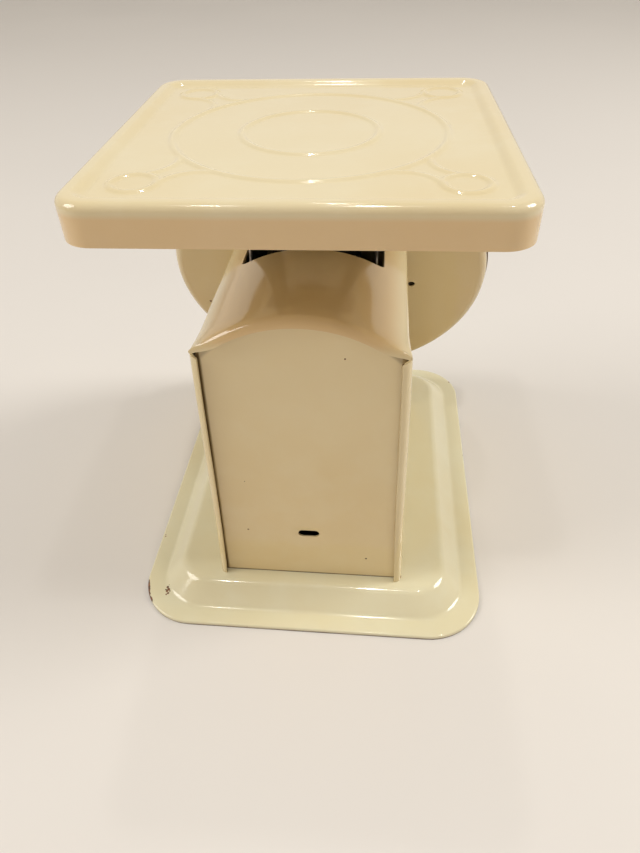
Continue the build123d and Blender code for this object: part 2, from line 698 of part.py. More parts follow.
def spring_plugs(face_z, reach, up):
    """Two screw-in plugs; each stands on face_z with a shoulder, and its stem enters the coil."""
    sign = 1 if up else -1
    shoulder = reach - plug_stem_length
    with BuildPart() as plugs:
        for x in (-spring_x, spring_x):
            with BuildSketch(Plane((x, spring_y, face_z), x_dir=(1, 0, 0), z_dir=(0, -1, 0))):
                with BuildLine():
                    Polyline(
                        (0, 0), (plug_shoulder, 0), (plug_shoulder, sign * shoulder),
                        (plug_stem, sign * shoulder), (plug_stem, sign * (reach - plug_chamfer)),
                        (plug_stem - plug_chamfer, sign * reach), (0, sign * reach), close=True)
                make_face()
            revolve(axis=Axis((x, spring_y, face_z), (0, 0, 1)))
    return plugs


coil_height = coil_pitch * coil_turns
coil_top = coil_bottom + coil_height
lower_reach = coil_bottom - wire_radius - coil_seat - crossbar_top + plug_stem_length
upper_reach = carrier_bottom - coil_top - wire_radius - coil_seat + plug_stem_length
spring_plugs_lower = spring_plugs(crossbar_top, lower_reach, up=True)
save(spring_plugs_lower, "spring_plugs_lower")
spring_plugs_upper = spring_plugs(carrier_bottom, upper_reach, up=False)
save(spring_plugs_upper, "spring_plugs_upper")


def extension_spring(x):
    """Coil of round wire standing at (x, spring_y)."""
    with BuildPart() as spring:
        with BuildLine() as coil:
            Helix(coil_pitch, coil_height, coil_radius, center=(x, spring_y, coil_bottom))
        with BuildSketch(Plane(coil.line @ 0, z_dir=coil.line % 0)):
            Circle(wire_radius)
        sweep(path=coil.line, is_frenet=True)
    return spring


spring_left = extension_spring(-spring_x)
save(spring_left, "spring_left")
spring_right = extension_spring(spring_x)
save(spring_right, "spring_right")

with BuildPart() as spring_carrier:
    with BuildSketch(at_height(carrier_bottom)):
        with Locations((0, spring_y)):
            RectangleRounded(2 * carrier_half_length, carrier_width, carrier_corner)
            Circle(stud_radius, mode=Mode.SUBTRACT)
    extrude(amount=carrier_height)
save(spring_carrier, "spring_carrier")

with BuildPart() as zero_adjust_screw:
    with BuildSketch(at_height(carrier_bottom)):
        with Locations((0, spring_y)):
            Circle(stud_radius)
    extrude(amount=stud_top - carrier_bottom)
    chamfer(zero_adjust_screw.faces().sort_by(Axis.Z)[-1].edges(), length=stud_chamfer)
save(zero_adjust_screw, "zero_adjust_screw")

bridge_top = frame_top + bridge_bar_height
with BuildPart() as nut_washer:
    with BuildSketch(at_height(bridge_top)):
        with Locations((0, spring_y)):
            Circle(washer_radius)
            Circle(stud_radius + running, mode=Mode.SUBTRACT)
    extrude(amount=sheet)
save(nut_washer, "nut_washer")

with BuildPart() as zero_adjust_nut:
    with BuildSketch(at_height(bridge_top + sheet)):
        with Locations((0, spring_y)):
            Circle(knob_shank)
    extrude(amount=knob_bottom - bridge_top - sheet)
    with BuildSketch(at_height(knob_bottom)):
        with Locations((0, spring_y)):
            Circle(knob_radius)
            with PolarLocations(knob_radius, knob_grooves):
                Circle(knob_groove_radius, mode=Mode.SUBTRACT)
    extrude(amount=knob_height)
    with BuildSketch(at_height(bridge_top)):
        with Locations((0, spring_y)):
            Circle(stud_radius + running)
    extrude(amount=stud_top - bridge_top, mode=Mode.SUBTRACT)
save(zero_adjust_nut, "zero_adjust_nut")

# ---- inner frame ----------------------------------------------------------------------------
with BuildPart() as inner_frame:
    with BuildSketch(Plane.YZ.offset(frame_inner)):
        with BuildLine():
            Polyline(
                (frame_rear, base_top), (frame_rear, frame_top), (frame_front, frame_top),
                (frame_front, frame_top - frame_arm), (frame_rear - frame_back, frame_top - frame_arm),
                (frame_rear - frame_back, base_top + frame_foot), (frame_toe, base_top + frame_foot),
                (frame_toe, base_top), close=True)
        make_face()
        with Locations((frame_pivot_y, upper_pivot_z), (frame_pivot_y, lower_pivot_z)):
            Circle(pin_radius, mode=Mode.SUBTRACT)
    extrude(amount=frame_sheet)
    with BuildSketch(at_height(base_top)):
        with Locations(((frame_inner + frame_foot_edge) / 2, (frame_toe + frame_rear) / 2)):
            Rectangle(frame_foot_edge - frame_inner, frame_rear - frame_toe)
        with Locations(*[spot for spot in frame_screw_spots if spot[0] > 0]):
            Circle(screw_radius + running, mode=Mode.SUBTRACT)
    extrude(amount=frame_sheet)
    mirror(about=Plane.YZ)
    with BuildSketch(facing_rear(frame_rear)):
        with Locations((0, (base_top + frame_top) / 2)):
            Rectangle(2 * frame_inner + frame_sheet, frame_top - base_top)
        with Locations((0, (base_top + frame_top) / 2)):
            SlotOverall(frame_window, frame_window_width, rotation=90, mode=Mode.SUBTRACT)
    extrude(amount=frame_sheet)
save(inner_frame, "inner_frame")

frame_screws = screw_group(
    [(x, y, base_top - sheet) for x, y in frame_screw_spots], (0, 0, 1),
    frame_screw_length, screw_radius, screw_head, screw_head_height)
save(frame_screws, "frame_screws")

with BuildPart() as spring_bridge:
    with BuildSketch(at_height(frame_top)):
        with Locations((0, spring_y)):
            RectangleRounded(2 * (frame_inner + frame_sheet), bridge_bar_width, bridge_corner)
            Circle(stud_radius + stud_clearance, mode=Mode.SUBTRACT)
    extrude(amount=bridge_bar_height)
save(spring_bridge, "spring_bridge")

fixed_pins = [(frame_pivot_y, upper_pivot_z), (frame_pivot_y, lower_pivot_z)]
frame_pivot_pins = rods(pin_radius, link_outer + clip_thickness + frame_pin_proud, fixed_pins)
save(frame_pivot_pins, "frame_pivot_pins")
frame_pin_clips = rod_clips(link_outer + running, fixed_pins)
save(frame_pin_clips, "frame_pin_clips")

post_top = crossbar_top - crossbar_height - load_travel - stop_gap - pad_height
with BuildPart() as stop_post:
    with BuildSketch(at_height(base_top)):
        with Locations((0, spring_y)):
            Circle(stop_radius)
    extrude(amount=post_top - base_top)
save(stop_post, "stop_post")

with BuildPart() as stop_pad:
    with BuildSketch(at_height(post_top)):
        with Locations((0, spring_y)):
            Circle(pad_radius)
    extrude(amount=pad_height)
    fillet(stop_pad.faces().sort_by(Axis.Z)[-1].edges(), radius=pad_round)
save(stop_pad, "stop_pad")


# ---- parallel links -----------------------------------------------------------------------------
def parallel_link(pivot_z):
    """U-shaped link from the frame's pin to the yoke's pin, tilted up at rest."""
    start, end = (frame_pivot_y, pivot_z), (moving_pin_y, pivot_z + moving_pin_rise)
    middle = ((start[0] + end[0]) / 2, (start[1] + end[1]) / 2)
    lean = -pivot_swing * 180 / pi
    with BuildPart() as link:
        with BuildSketch(Plane.YZ.offset(link_outer - link_sheet)):
            with Locations(Location(middle, lean)):
                SlotCenterToCenter(link_length, link_height)
            with Locations(start):
                Circle(pin_radius + running, mode=Mode.SUBTRACT)
            with Locations(end):
                Circle(pin_radius, mode=Mode.SUBTRACT)
        extrude(amount=link_sheet)
        mirror(about=Plane.YZ)
        with BuildSketch(Plane.YZ.offset(-link_outer + link_sheet / 2)):
            with Locations(Location(middle, lean)):
                Rectangle(link_web, link_sheet)
        extrude(amount=2 * link_outer - link_sheet)
    return link


for name, pivot_z in (("upper", upper_pivot_z), ("lower", lower_pivot_z)):
    link = parallel_link(pivot_z)
    save(link, f"{name}_link")
    moving_pin = [(moving_pin_y, pivot_z + moving_pin_rise)]
    pin = rods(pin_radius, yoke_half_width + clip_thickness + yoke_pin_proud, moving_pin)
    save(pin, f"{name}_link_pin")
    clips = rod_clips(yoke_half_width + running, moving_pin)
    save(clips, f"{name}_link_clips")
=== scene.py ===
import json
from math import asin, atan2, ceil, cos, degrees, hypot, pi, radians, sin, sqrt, tan

import bmesh
import bpy
import numpy as np
from mathutils import Matrix, Vector, noise
from mathutils.geometry import delaunay_2d_cdt


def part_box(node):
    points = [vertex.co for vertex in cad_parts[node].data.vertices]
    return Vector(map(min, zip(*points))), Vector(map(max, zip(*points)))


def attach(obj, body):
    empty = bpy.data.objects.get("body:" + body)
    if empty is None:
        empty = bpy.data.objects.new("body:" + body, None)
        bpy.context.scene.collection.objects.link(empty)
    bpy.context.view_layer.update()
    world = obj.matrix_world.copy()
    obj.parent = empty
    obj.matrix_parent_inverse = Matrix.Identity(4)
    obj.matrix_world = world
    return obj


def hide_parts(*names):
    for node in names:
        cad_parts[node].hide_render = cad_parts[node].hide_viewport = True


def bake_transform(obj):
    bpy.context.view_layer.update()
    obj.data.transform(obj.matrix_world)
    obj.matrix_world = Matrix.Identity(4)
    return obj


# Looks of a household spring dial scale in cream enamelled steel. Geometry is worked out in
# millimetres in the frame's axes (+Z up, the dial faces -Y) and written to meshes in metres.

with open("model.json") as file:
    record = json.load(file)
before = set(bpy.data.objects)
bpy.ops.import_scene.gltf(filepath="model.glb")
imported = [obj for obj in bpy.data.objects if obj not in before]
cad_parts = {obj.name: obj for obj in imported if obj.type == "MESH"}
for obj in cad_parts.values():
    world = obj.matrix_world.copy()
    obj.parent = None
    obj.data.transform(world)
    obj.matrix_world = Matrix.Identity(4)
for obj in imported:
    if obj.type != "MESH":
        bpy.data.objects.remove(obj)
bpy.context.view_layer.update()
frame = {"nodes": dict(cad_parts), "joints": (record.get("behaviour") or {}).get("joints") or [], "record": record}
MM = 0.001

# ---- sizes taken from the frame ----


def mm_box(node):
    """Lowest and highest corner of a CAD node, in millimetres."""
    low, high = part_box(node)
    return low / MM, high / MM


base_high = mm_box("base_pan")[1]
shell_high = mm_box("housing_shell")[1]
panel_high = mm_box("rear_panel")[1]
tray_low, tray_high = mm_box("platform")
pointer_turn = next(joint for joint in frame["joints"] if joint["name"] == "pointer_turn")
dial_centre = Vector(pointer_turn["pos_m"]) / MM
dial_normal = Vector(pointer_turn["axis"]).normalized()
dial_tilt = asin(dial_normal.z)
pointer_sweep = 336.0       # degrees from no load to full load

SHEET = 1.0                 # pressed steel sheet

# ---- small geometry helpers ----


def clamp(value):
    return min(1.0, max(0.0, value))


def ease(value, low, high):
    """0 below low, 1 above high, smooth between."""
    share = clamp((value - low) / (high - low))
    return share * share * (3 - 2 * share)


def arc_points(centre, radius, start, end, steps):
    """Points of a circular arc, angles in degrees, both ends included."""
    angles = [radians(start + (end - start) * i / steps) for i in range(steps + 1)]
    return [(centre[0] + radius * cos(a), centre[1] + radius * sin(a)) for a in angles]


def rounded_rectangle(half_x, half_y, radius, corner_steps, side_steps):
    """Counter-clockwise outline with the same number of points at any size."""
    arcs = [arc_points((sx * (half_x - radius), sy * (half_y - radius)), radius, turn, turn + 90,
                       corner_steps)
            for turn, sx, sy in ((0, 1, 1), (90, -1, 1), (180, -1, -1), (270, 1, -1))]
    shares = [k / side_steps for k in range(1, side_steps)]
    outline = []
    for arc, following in zip(arcs, arcs[1:] + arcs[:1]):
        (x0, y0), (x1, y1) = arc[-1], following[0]
        outline += arc + [(x0 + (x1 - x0) * share, y0 + (y1 - y0) * share) for share in shares]
    return outline


def linked(name, data):
    """New object in the scene for a mesh, curve, light or camera."""
    obj = bpy.data.objects.new(name, data)
    bpy.context.scene.collection.objects.link(obj)
    return obj


def paint(obj, material):
    """Make the material the object's only one."""
    obj.data.materials.clear()
    obj.data.materials.append(material)


class Mesh:
    """Vertices and faces gathered in millimetres."""

    def __init__(self):
        self.points = []
        self.faces = []

    def ring(self, points):
        first = len(self.points)
        self.points += [tuple(p) for p in points]
        return list(range(first, len(self.points)))

    def bridge(self, a, b, closed=True):
        """Quads between two rings of the same length."""
        count = len(a) if closed else len(a) - 1
        for i in range(count):
            j = (i + 1) % len(a)
            self.faces.append((a[i], a[j], b[j], b[i]))

    def loft(self, rings, closed=True):
        indices = [self.ring(points) for points in rings]
        for a, b in zip(indices, indices[1:]):
            self.bridge(a, b, closed)
        return indices

    def patch(self, points, faces):
        """Add faces that are numbered from their own list of points."""
        first = len(self.points)
        self.points += points
        self.faces += [tuple(first + i for i in face) for face in faces]

    def build(self, name, material, place=None, merge=1e-4, smooth_angle=40.0):
        """Blender object from the gathered mesh, moved by the matrix place."""
        data = bpy.data.meshes.new(name)
        points = np.array(self.points, float)
        if place is not None:
            matrix = np.array(place, float)
            points = points @ matrix[:3, :3].T + matrix[:3, 3]
        data.from_pydata((points * MM).tolist(), [], self.faces)
        obj = linked(name, data)
        tidy(obj, merge, smooth_angle)
        data.materials.append(material)
        return obj

    def piece(self, name, body, material, **options):
        """The built object, riding on a body."""
        obj = self.build(name, material, **options)
        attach(obj, body)
        return obj


def tidy(obj, merge, smooth_angle):
    """Merge doubles, point all faces outward, and shade smooth except at sharp edges."""
    work = bmesh.new()
    work.from_mesh(obj.data)
    bmesh.ops.remove_doubles(work, verts=work.verts, dist=merge * MM)
    bmesh.ops.dissolve_degenerate(work, edges=work.edges, dist=merge * MM)
    bmesh.ops.recalc_face_normals(work, faces=work.faces)
    for edge in work.edges:
        edge.smooth = len(edge.link_faces) == 2 and edge.calc_face_angle(0) < radians(smooth_angle)
    for face in work.faces:
        face.smooth = True
    work.to_mesh(obj.data)
    work.free()


def thicken(obj, thickness):
    """Give a sheet its thickness. The modelled side stays where it is."""
    solid = obj.modifiers.new("sheet", "SOLIDIFY")
    solid.thickness = thickness * MM
    solid.offset = -1.0
    solid.use_even_offset = True
    solid.use_quality_normals = True


def inside(point, outline):
    """Whether a 2-D point lies in a closed outline."""
    x, y = point
    hit = False
    for (x0, y0), (x1, y1) in zip(outline, outline[1:] + outline[:1]):
        if (y0 > y) != (y1 > y) and x < (x1 - x0) * (y - y0) / (y1 - y0) + x0:
            hit = not hit
    return hit


def spread(rows, spacing):
    """Keep points, in the order given, that stay clear of those already kept."""
    cell = {}
    kept = []
    for x, y in rows:
        key = (int(x // spacing), int(y // spacing))
        near = (q for i in (-1, 0, 1) for j in (-1, 0, 1)
                for q in cell.get((key[0] + i, key[1] + j), ()))
        if all(hypot(x - a, y - b) >= spacing for a, b in near):
            cell.setdefault(key, []).append((x, y))
            kept.append((x, y))
    return kept


def fill_outline(outer, holes=(), extra=()):
    """Triangles of a flat region: its outline, its holes' outlines and loose inner points."""
    points, edges = [], []
    for loop in [outer, *holes]:
        first = len(points)
        points += loop
        edges += [(first + i, first + (i + 1) % len(loop)) for i in range(len(loop))]
    points += list(extra)
    found, _, faces, *_ = delaunay_2d_cdt([Vector(p) for p in points], edges, [], 1, 1e-6)
    found = [tuple(p) for p in found]
    kept = []
    for face in faces:
        middle = (sum(found[i][0] for i in face) / 3, sum(found[i][1] for i in face) / 3)
        if inside(middle, outer) and not any(inside(middle, hole) for hole in holes):
            kept.append(tuple(face))
    return found, kept


def clear_of(fixed, rows, spacing):
    """The rows' points that stay clear of the fixed ones and of each other."""
    return [p for p in spread(fixed + rows, spacing) if p not in fixed]


def lattice(low, high, spacing):
    """Staggered grid of points over a rectangle."""
    rows = []
    step_y = spacing * sqrt(3) / 2
    for j in range(ceil((high[1] - low[1]) / step_y) + 1):
        shift = spacing / 2 if j % 2 else 0.0
        for i in range(ceil((high[0] - low[0]) / spacing) + 1):
            rows.append((low[0] + i * spacing + shift, low[1] + j * step_y))
    return rows


def circle(centre, radius, steps):
    return arc_points(centre, radius, 0, 360, steps)[:-1]


def wave(x, y, scale, seed):
    """Gentle height noise, the unevenness of hand-fed pressed sheet."""
    return noise.noise(Vector((x / scale, y / scale, seed)))


def axes_matrix(x_axis, y_axis, z_axis, place):
    """Matrix of a place and the directions of its three axes."""
    matrix = Matrix((x_axis, y_axis, z_axis)).transposed().to_4x4()
    matrix.translation = place
    return matrix


dial_across = Vector((1, 0, 0))
dial_place = axes_matrix(dial_across, dial_normal.cross(dial_across), dial_normal, dial_centre)


def on_dial(x, y, height=0.0):
    """Frame position from the dial's own axes: x across, y up the dial, height out of its face."""
    return tuple(dial_place @ Vector((x, y, height)))


# ---- materials ----


class Nodes:
    """Short-hand for building a node tree: a new material's, or the world's."""

    def __init__(self, name, world=None):
        self.material = world or bpy.data.materials.new(name)
        self.material.use_nodes = True
        self.tree = self.material.node_tree
        self.shader = self.tree.nodes["Background" if world else "Principled BSDF"]
        space = "Generated" if world else "Object"
        self.coordinates = self.make("ShaderNodeTexCoord").outputs[space]

    def make(self, kind, **inputs):
        node = self.tree.nodes.new(kind)
        for key, value in inputs.items():
            self.put(node, key, value)
        return node

    def put(self, node, key, value):
        socket = node.inputs[int(key[1:])] if key[0] == "_" else node.inputs[key]
        if isinstance(value, bpy.types.NodeSocket):
            self.tree.links.new(value, socket)
        else:
            socket.default_value = (*value, 1) if socket.type == "RGBA" else value

    def noise(self, scale, detail=3.0, roughness=0.55, distortion=0.0):
        node = self.make("ShaderNodeTexNoise", Vector=self.coordinates, Scale=scale, Detail=detail,
                         Roughness=roughness, Distortion=distortion)
        return node.outputs["Fac"]

    def math(self, operation, a, b=0.0, clamp=False):
        node = self.tree.nodes.new("ShaderNodeMath")
        node.operation = operation
        node.use_clamp = clamp
        self.put(node, "_0", a)
        self.put(node, "_1", b)
        return node.outputs[0]

    def times(self, a, b):
        return self.math("MULTIPLY", a, b)

    def plus(self, a, b, clamp=False):
        return self.math("ADD", a, b, clamp)

    def vector_math(self, operation, a, b=None):
        """The number that an operation on vectors gives."""
        node = self.tree.nodes.new("ShaderNodeVectorMath")
        node.operation = operation
        self.put(node, "_0", a)
        if b is not None:
            self.put(node, "_1", b)
        return node.outputs["Value"]

    def ramp(self, value, low, high, out_low=0.0, out_high=1.0, smooth=True):
        node = self.tree.nodes.new("ShaderNodeMapRange")
        node.interpolation_type = "SMOOTHSTEP" if smooth else "LINEAR"
        for key, number in (("Value", value), ("From Min", low), ("From Max", high),
                            ("To Min", out_low), ("To Max", out_high)):
            self.put(node, key, number)
        return node.outputs["Result"]

    def mix(self, share, a, b):
        node = self.tree.nodes.new("ShaderNodeMix")
        node.data_type = "RGBA"
        self.put(node, "_0", share)
        self.put(node, "_6", a)
        self.put(node, "_7", b)
        return node.outputs[2]

    def axis(self, index):
        node = self.make("ShaderNodeSeparateXYZ", Vector=self.coordinates)
        return node.outputs[index]

    def patchy(self, mask, scale, detail, *levels):
        """The mask times an uneven share; levels are the noise's range and the shares' range."""
        return self.times(mask, self.ramp(self.noise(scale, detail), *levels))

    def near(self, place, radius):
        """1 at a place given in millimetres, falling to 0 at the radius."""
        away = self.vector_math("DISTANCE", self.coordinates, tuple(c * MM for c in place))
        return self.ramp(away, 0.0, radius * MM, 1.0, 0.0, smooth=False)

    def highest(self, values):
        result = values[0]
        for value in values[1:]:
            result = self.math("MAXIMUM", result, value)
        return result

    def bump(self, height, strength, distance, normal=None):
        node = self.make("ShaderNodeBump", Height=height, Strength=strength, Distance=distance)
        if normal is not None:
            self.put(node, "Normal", normal)
        return node.outputs["Normal"]

    def finish(self, colour, roughness, normal=None, **fixed):
        self.put(self.shader, "Base Color", colour)
        self.put(self.shader, "Roughness", roughness)
        if normal is not None:
            self.put(self.shader, "Normal", normal)
        for key, value in fixed.items():
            self.put(self.shader, key.replace("_", " "), value)
        return self.material


CREAM = (0.785, 0.700, 0.470)
CREAM_WARM = (0.765, 0.655, 0.405)
CREAM_PALE = (0.800, 0.735, 0.530)
RUST = (0.220, 0.075, 0.020)
BARE = (0.030, 0.020, 0.014)
GRIME = (0.330, 0.220, 0.100)
DARK_DIRT_AND_SHADE = (0.080, 0.040, 0.009)
# Brown painted as shade on the roof under the tray and on the tray's skirt.
SHADE_BROWN = (0.770, 0.510, 0.230)


def enamel(name, chips=(), worn=None, pits=0.10, waviness=0.25, seams=None, tint=(1, 1, 1),
           painted_shade=None):
    """Glossy cream enamel: mottling, orange peel, pits, and chips that show rust and steel.

    chips is a list of ((x, y, z), radius) in millimetres. worn is a function that takes the
    node builder and returns a mask of the edges where the paint is rubbed through; seams is
    one that returns a mask of the gaps and edges drawn dark, with dirt in some and painted
    shade in others; painted_shade is one that returns a mask of the places browned as painted shade.
    """
    n = Nodes(name)
    broad = n.noise(9.0, 2.0)
    fine = n.noise(55.0, 4.0)
    cream, warm, pale = (tuple(c * t for c, t in zip(tone, tint))
                         for tone in (CREAM, CREAM_WARM, CREAM_PALE))
    colour = n.mix(n.ramp(broad, 0.35, 0.70), cream, warm)
    colour = n.mix(n.times(n.ramp(fine, 0.40, 0.75), 0.35), colour, pale)
    # Painted shade: browner colour where the surface lies in shade, the roof under the tray and the tray's skirt.
    if painted_shade is not None:
        colour = n.mix(painted_shade(n), colour, SHADE_BROWN)
    # Pits: a few of the cells carry one small dark spot each.
    cells = n.make("ShaderNodeTexVoronoi", Vector=n.coordinates, Scale=42.0)
    chosen = n.ramp(n.make("ShaderNodeSeparateColor", Color=cells.outputs["Color"]).outputs[0],
                    1.0 - pits, 1.0 - pits + 0.01, smooth=False)
    spot = n.ramp(cells.outputs["Distance"], 0.010, 0.022, 1.0, 0.0)
    damage = [n.times(chosen, spot)]
    ragged = n.noise(330.0, 5.0, 0.7)
    for place, radius in chips:
        reach = n.plus(n.near(place, radius), n.times(ragged, 0.9))
        damage.append(n.ramp(reach, 0.98, 1.06))
    if worn is not None:
        reach = n.plus(worn(n), n.times(ragged, 0.8))
        damage.append(n.ramp(reach, 1.05, 1.18))
    lost = n.highest(damage)
    stain = n.mix(n.ramp(n.noise(700.0, 3.0), 0.35, 0.65), RUST, BARE)
    halo = n.times(n.ramp(lost, 0.02, 0.5), 0.6)
    colour = n.mix(halo, colour, GRIME)
    colour = n.mix(n.ramp(lost, 0.35, 0.75), colour, stain)
    # Dark gaps and edges: dirt and rust in the bezel's joint, painted shade in the rear panel's gaps, dirt with
    # painted contact shade along the base's floor edge.
    if seams is not None:
        colour = n.mix(n.times(seams(n), 0.92), colour, DARK_DIRT_AND_SHADE)
    gloss = n.ramp(fine, 0.3, 0.8, 0.10, 0.18)
    roughness = n.plus(gloss, n.times(lost, 0.55), clamp=True)
    peel = n.noise(420.0, 2.0)
    sag = n.noise(28.0, 1.0)
    normal = n.bump(sag, waviness, 0.0008)
    normal = n.bump(peel, 0.10, 0.00010, normal)
    normal = n.bump(n.math("SUBTRACT", 1.0, lost), 0.6, 0.00012, normal)
    return n.finish(colour, roughness, normal, IOR=1.52, Coat_Weight=0.45, Coat_Roughness=0.06)


def black_enamel():
    """Satin black paint on the yoke and brackets, dusty and thin."""
    n = Nodes("black_enamel")
    cloud = n.noise(60.0, 4.0)
    dust = n.ramp(n.noise(260.0, 5.0, 0.65), 0.45, 0.8)
    colour = n.mix(cloud, (0.010, 0.010, 0.011), (0.024, 0.022, 0.021))
    colour = n.mix(n.times(dust, 0.30), colour, (0.09, 0.075, 0.055))
    roughness = n.ramp(dust, 0.0, 1.0, 0.30, 0.55)
    return n.finish(colour, roughness, n.bump(cloud, 0.25, 0.0002))


def yoke_paint():
    """Black paint whose cut edges are rubbed to bare steel."""
    n = Nodes("yoke_paint")
    low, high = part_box("yoke")
    dust = n.ramp(n.noise(260.0, 5.0, 0.65), 0.45, 0.8)
    colour = n.mix(n.times(dust, 0.3), (0.012, 0.012, 0.013), (0.08, 0.07, 0.05))
    rear = n.ramp(n.axis(1), high.y - 0.0006, high.y - 0.0001)
    front = n.ramp(n.axis(1), low.y + 0.0001, low.y + 0.0006, 1.0, 0.0)
    outer = n.ramp(n.math("ABSOLUTE", n.axis(0)), high.x - 0.0009, high.x - 0.0005)
    rubbed = n.times(n.patchy(n.highest([rear, front]), 90.0, 4.0, 0.25, 0.5), outer)
    colour = n.mix(rubbed, colour, (0.85, 0.84, 0.84))
    roughness = n.ramp(rubbed, 0.0, 1.0, 0.42, 0.34)
    return n.finish(colour, roughness, n.bump(dust, 0.2, 0.0001))


def metal(name, dark, light, roughness, tarnish=0.25):
    """Bare metal with a fine grain and blotches of tarnish."""
    n = Nodes(name)
    grain = n.noise(900.0, 3.0, 0.5)
    blotch = n.ramp(n.noise(120.0, 5.0, 0.6), 0.42, 0.72)
    colour = n.mix(grain, dark, light)
    duller = tuple(c * 0.45 for c in dark)
    colour = n.mix(n.times(blotch, tarnish), colour, duller)
    rough = n.plus(n.ramp(grain, 0.3, 0.7, roughness - 0.06, roughness + 0.08),
                   n.times(blotch, 0.15), clamp=True)
    return n.finish(colour, rough, n.bump(grain, 0.15, 0.00005), Metallic=1.0)


def dial_paper():
    """Off-white printed dial face, yellowed towards its edge, with faint foxing."""
    n = Nodes("dial_face")
    middle = tuple((dial_centre + dial_normal * plate_face) * MM)
    edge = n.ramp(n.vector_math("DISTANCE", n.coordinates, middle), 0.055, 0.090)
    colour = n.mix(n.times(edge, 0.55), (0.83, 0.80, 0.70), (0.72, 0.63, 0.44))
    fox = n.ramp(n.noise(130.0, 6.0, 0.7), 0.60, 0.80)
    colour = n.mix(n.times(fox, 0.22), colour, (0.45, 0.30, 0.14))
    grain = n.noise(2600.0, 2.0)
    return n.finish(colour, n.ramp(grain, 0.3, 0.7, 0.42, 0.52), n.bump(grain, 0.08, 0.00004))


def ink(name, colour, roughness):
    """Printed or painted markings, slightly uneven."""
    n = Nodes(name)
    cloud = n.noise(420.0, 4.0)
    lighter = tuple(min(1.0, c * 1.6 + 0.01) for c in colour)
    return n.finish(n.mix(n.ramp(cloud, 0.35, 0.75), colour, lighter),
                    n.ramp(cloud, 0.3, 0.7, roughness, roughness + 0.12),
                    n.bump(cloud, 0.1, 0.00005))


def glass():
    """Clear flat glass with a few wipe marks."""
    n = Nodes("dial_glass")
    smear = n.ramp(n.noise(45.0, 5.0, 0.6, 1.5), 0.45, 0.8, 0.02, 0.07)
    return n.finish((0.97, 0.98, 0.97), smear, IOR=1.5, Transmission_Weight=1.0, Alpha=0.25)


def rubber():
    n = Nodes("rubber")
    grain = n.noise(1500.0, 3.0)
    colour = n.mix(grain, (0.012, 0.012, 0.012), (0.030, 0.028, 0.026))
    return n.finish(colour, n.ramp(grain, 0.3, 0.7, 0.65, 0.8), n.bump(grain, 0.3, 0.0001))


# ---- base pan ----

base_half_x = base_high.x
base_half_y = base_high.y
plateau = base_high.z
base_corner = 28.0
base_flange, base_flange_top = 9.5, 2.2
base_foot_bend, base_top_bend = 4.0, 6.0
riser_angle = radians(45.0)


def base_profile():
    """(inset, height) down the base's side, from the floor up and in to its plateau."""
    hem = 0.9
    profile = [(0.0, 0.0), (0.0, 0.45), (0.0, 0.9)]
    profile += [(hem - x, base_flange_top - hem + z) for x, z in arc_points((0, 0), hem, 0, 90, 5)]
    # Concave bend from the flat flange to the 45 degree riser.
    reach = base_foot_bend * tan(riser_angle / 2)
    centre = (base_flange - reach, base_flange_top + base_foot_bend)
    profile.append(((hem + centre[0]) / 2, base_flange_top))
    profile += arc_points(centre, base_foot_bend, -90, -45, 8)
    # Convex bend from the riser to the plateau.
    top_inset = base_flange + (plateau - base_flange_top) / tan(riser_angle)
    reach = base_top_bend * tan(riser_angle / 2)
    centre = (top_inset + reach, plateau - base_top_bend)
    profile += arc_points(centre, base_top_bend, 135, 90, 10)
    for inset in (24.0, 27.0, 30.5, 34.5, 39.0, 44.0, 50.0, 57.0, 65.0, 74.0, 82.0, 87.0):
        profile.append((inset, plateau))
    return profile


def base_ring(inset, z):
    radius = max(base_corner - 0.55 * inset, 1.2)
    ring = rounded_rectangle(base_half_x - inset, base_half_y - inset, radius, 16, 26)
    settled = clamp((inset - 4.0) / 20.0)
    return [(x, y, z + settled * 0.16 * wave(x, y, 38.0, 3.0) - 0.10 * settled) for x, y in ring]


def base_worn(n):
    """Bare line along the turned-down edge, heavier at the corners."""
    low = n.ramp(n.axis(2), 0.0001, 0.0009, 1.0, 0.0)
    return n.patchy(low, 16.0, 3.0, 0.30, 0.62, 0.35, 1.0)


def base_seams(n):
    """Dark line all along the cut edge that stands on the floor: rust and dirt on the raw edge, with painted
    contact shade.
    """
    low = n.ramp(n.axis(2), 0.0004, 0.0010, 1.0, 0.0)
    return n.patchy(low, 30.0, 3.0, 0.30, 0.60, 0.55, 1.0)


def make_base():
    mesh = Mesh()
    rings = mesh.loft([base_ring(inset, z) for inset, z in base_profile()])
    last = rings[-1]
    middle = mesh.ring([(0, 0, plateau)])[0]
    mesh.faces += [(a, b, middle) for a, b in zip(last, last[1:] + last[:1])]
    chips = [((80.0, 88.0, 4.0), 0.8), ((-40.0, 112.0, 1.4), 1.6), ((-88.0, -20.0, 1.4), 1.5),
             ((60.0, -111.0, 1.6), 2.2), ((-84.0, -98.0, 1.8), 1.8), ((30.0, 112.3, 1.2), 1.4)]
    # One long chip follows the rim round a corner, with a ragged rust spot inside it.
    rim_radius = 27.7
    for turn in range(10, 38, 2):
        chips.append(((base_half_x - base_corner + rim_radius * cos(radians(turn)),
                       base_half_y - base_corner + rim_radius * sin(radians(turn)), 1.3), 2.6))
    for dx, dy, radius in ((0.0, -2.6, 1.1), (0.5, -1.3, 1.6), (-0.4, 0.0, 1.9), (0.3, 1.2, 1.4),
                           (-0.6, 2.3, 1.4), (1.1, 0.3, 1.0), (-1.3, 1.1, 0.9), (0.2, 3.2, 1.0)):
        chips.append(((75.6 + dx, 94.2 + dy, 2.2), radius))
    chips += [((86.4, 58.8, 1.6), 1.7), ((86.6, 57.8, 1.6), 1.5)]
    obj = mesh.piece("base_pan_visual", "root",
                     enamel("enamel_base", chips, base_worn, 0.06, seams=base_seams,
                            tint=(0.985, 1.055, 1.13)))
    thicken(obj, SHEET)
    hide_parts("base_pan")


# ---- column ----

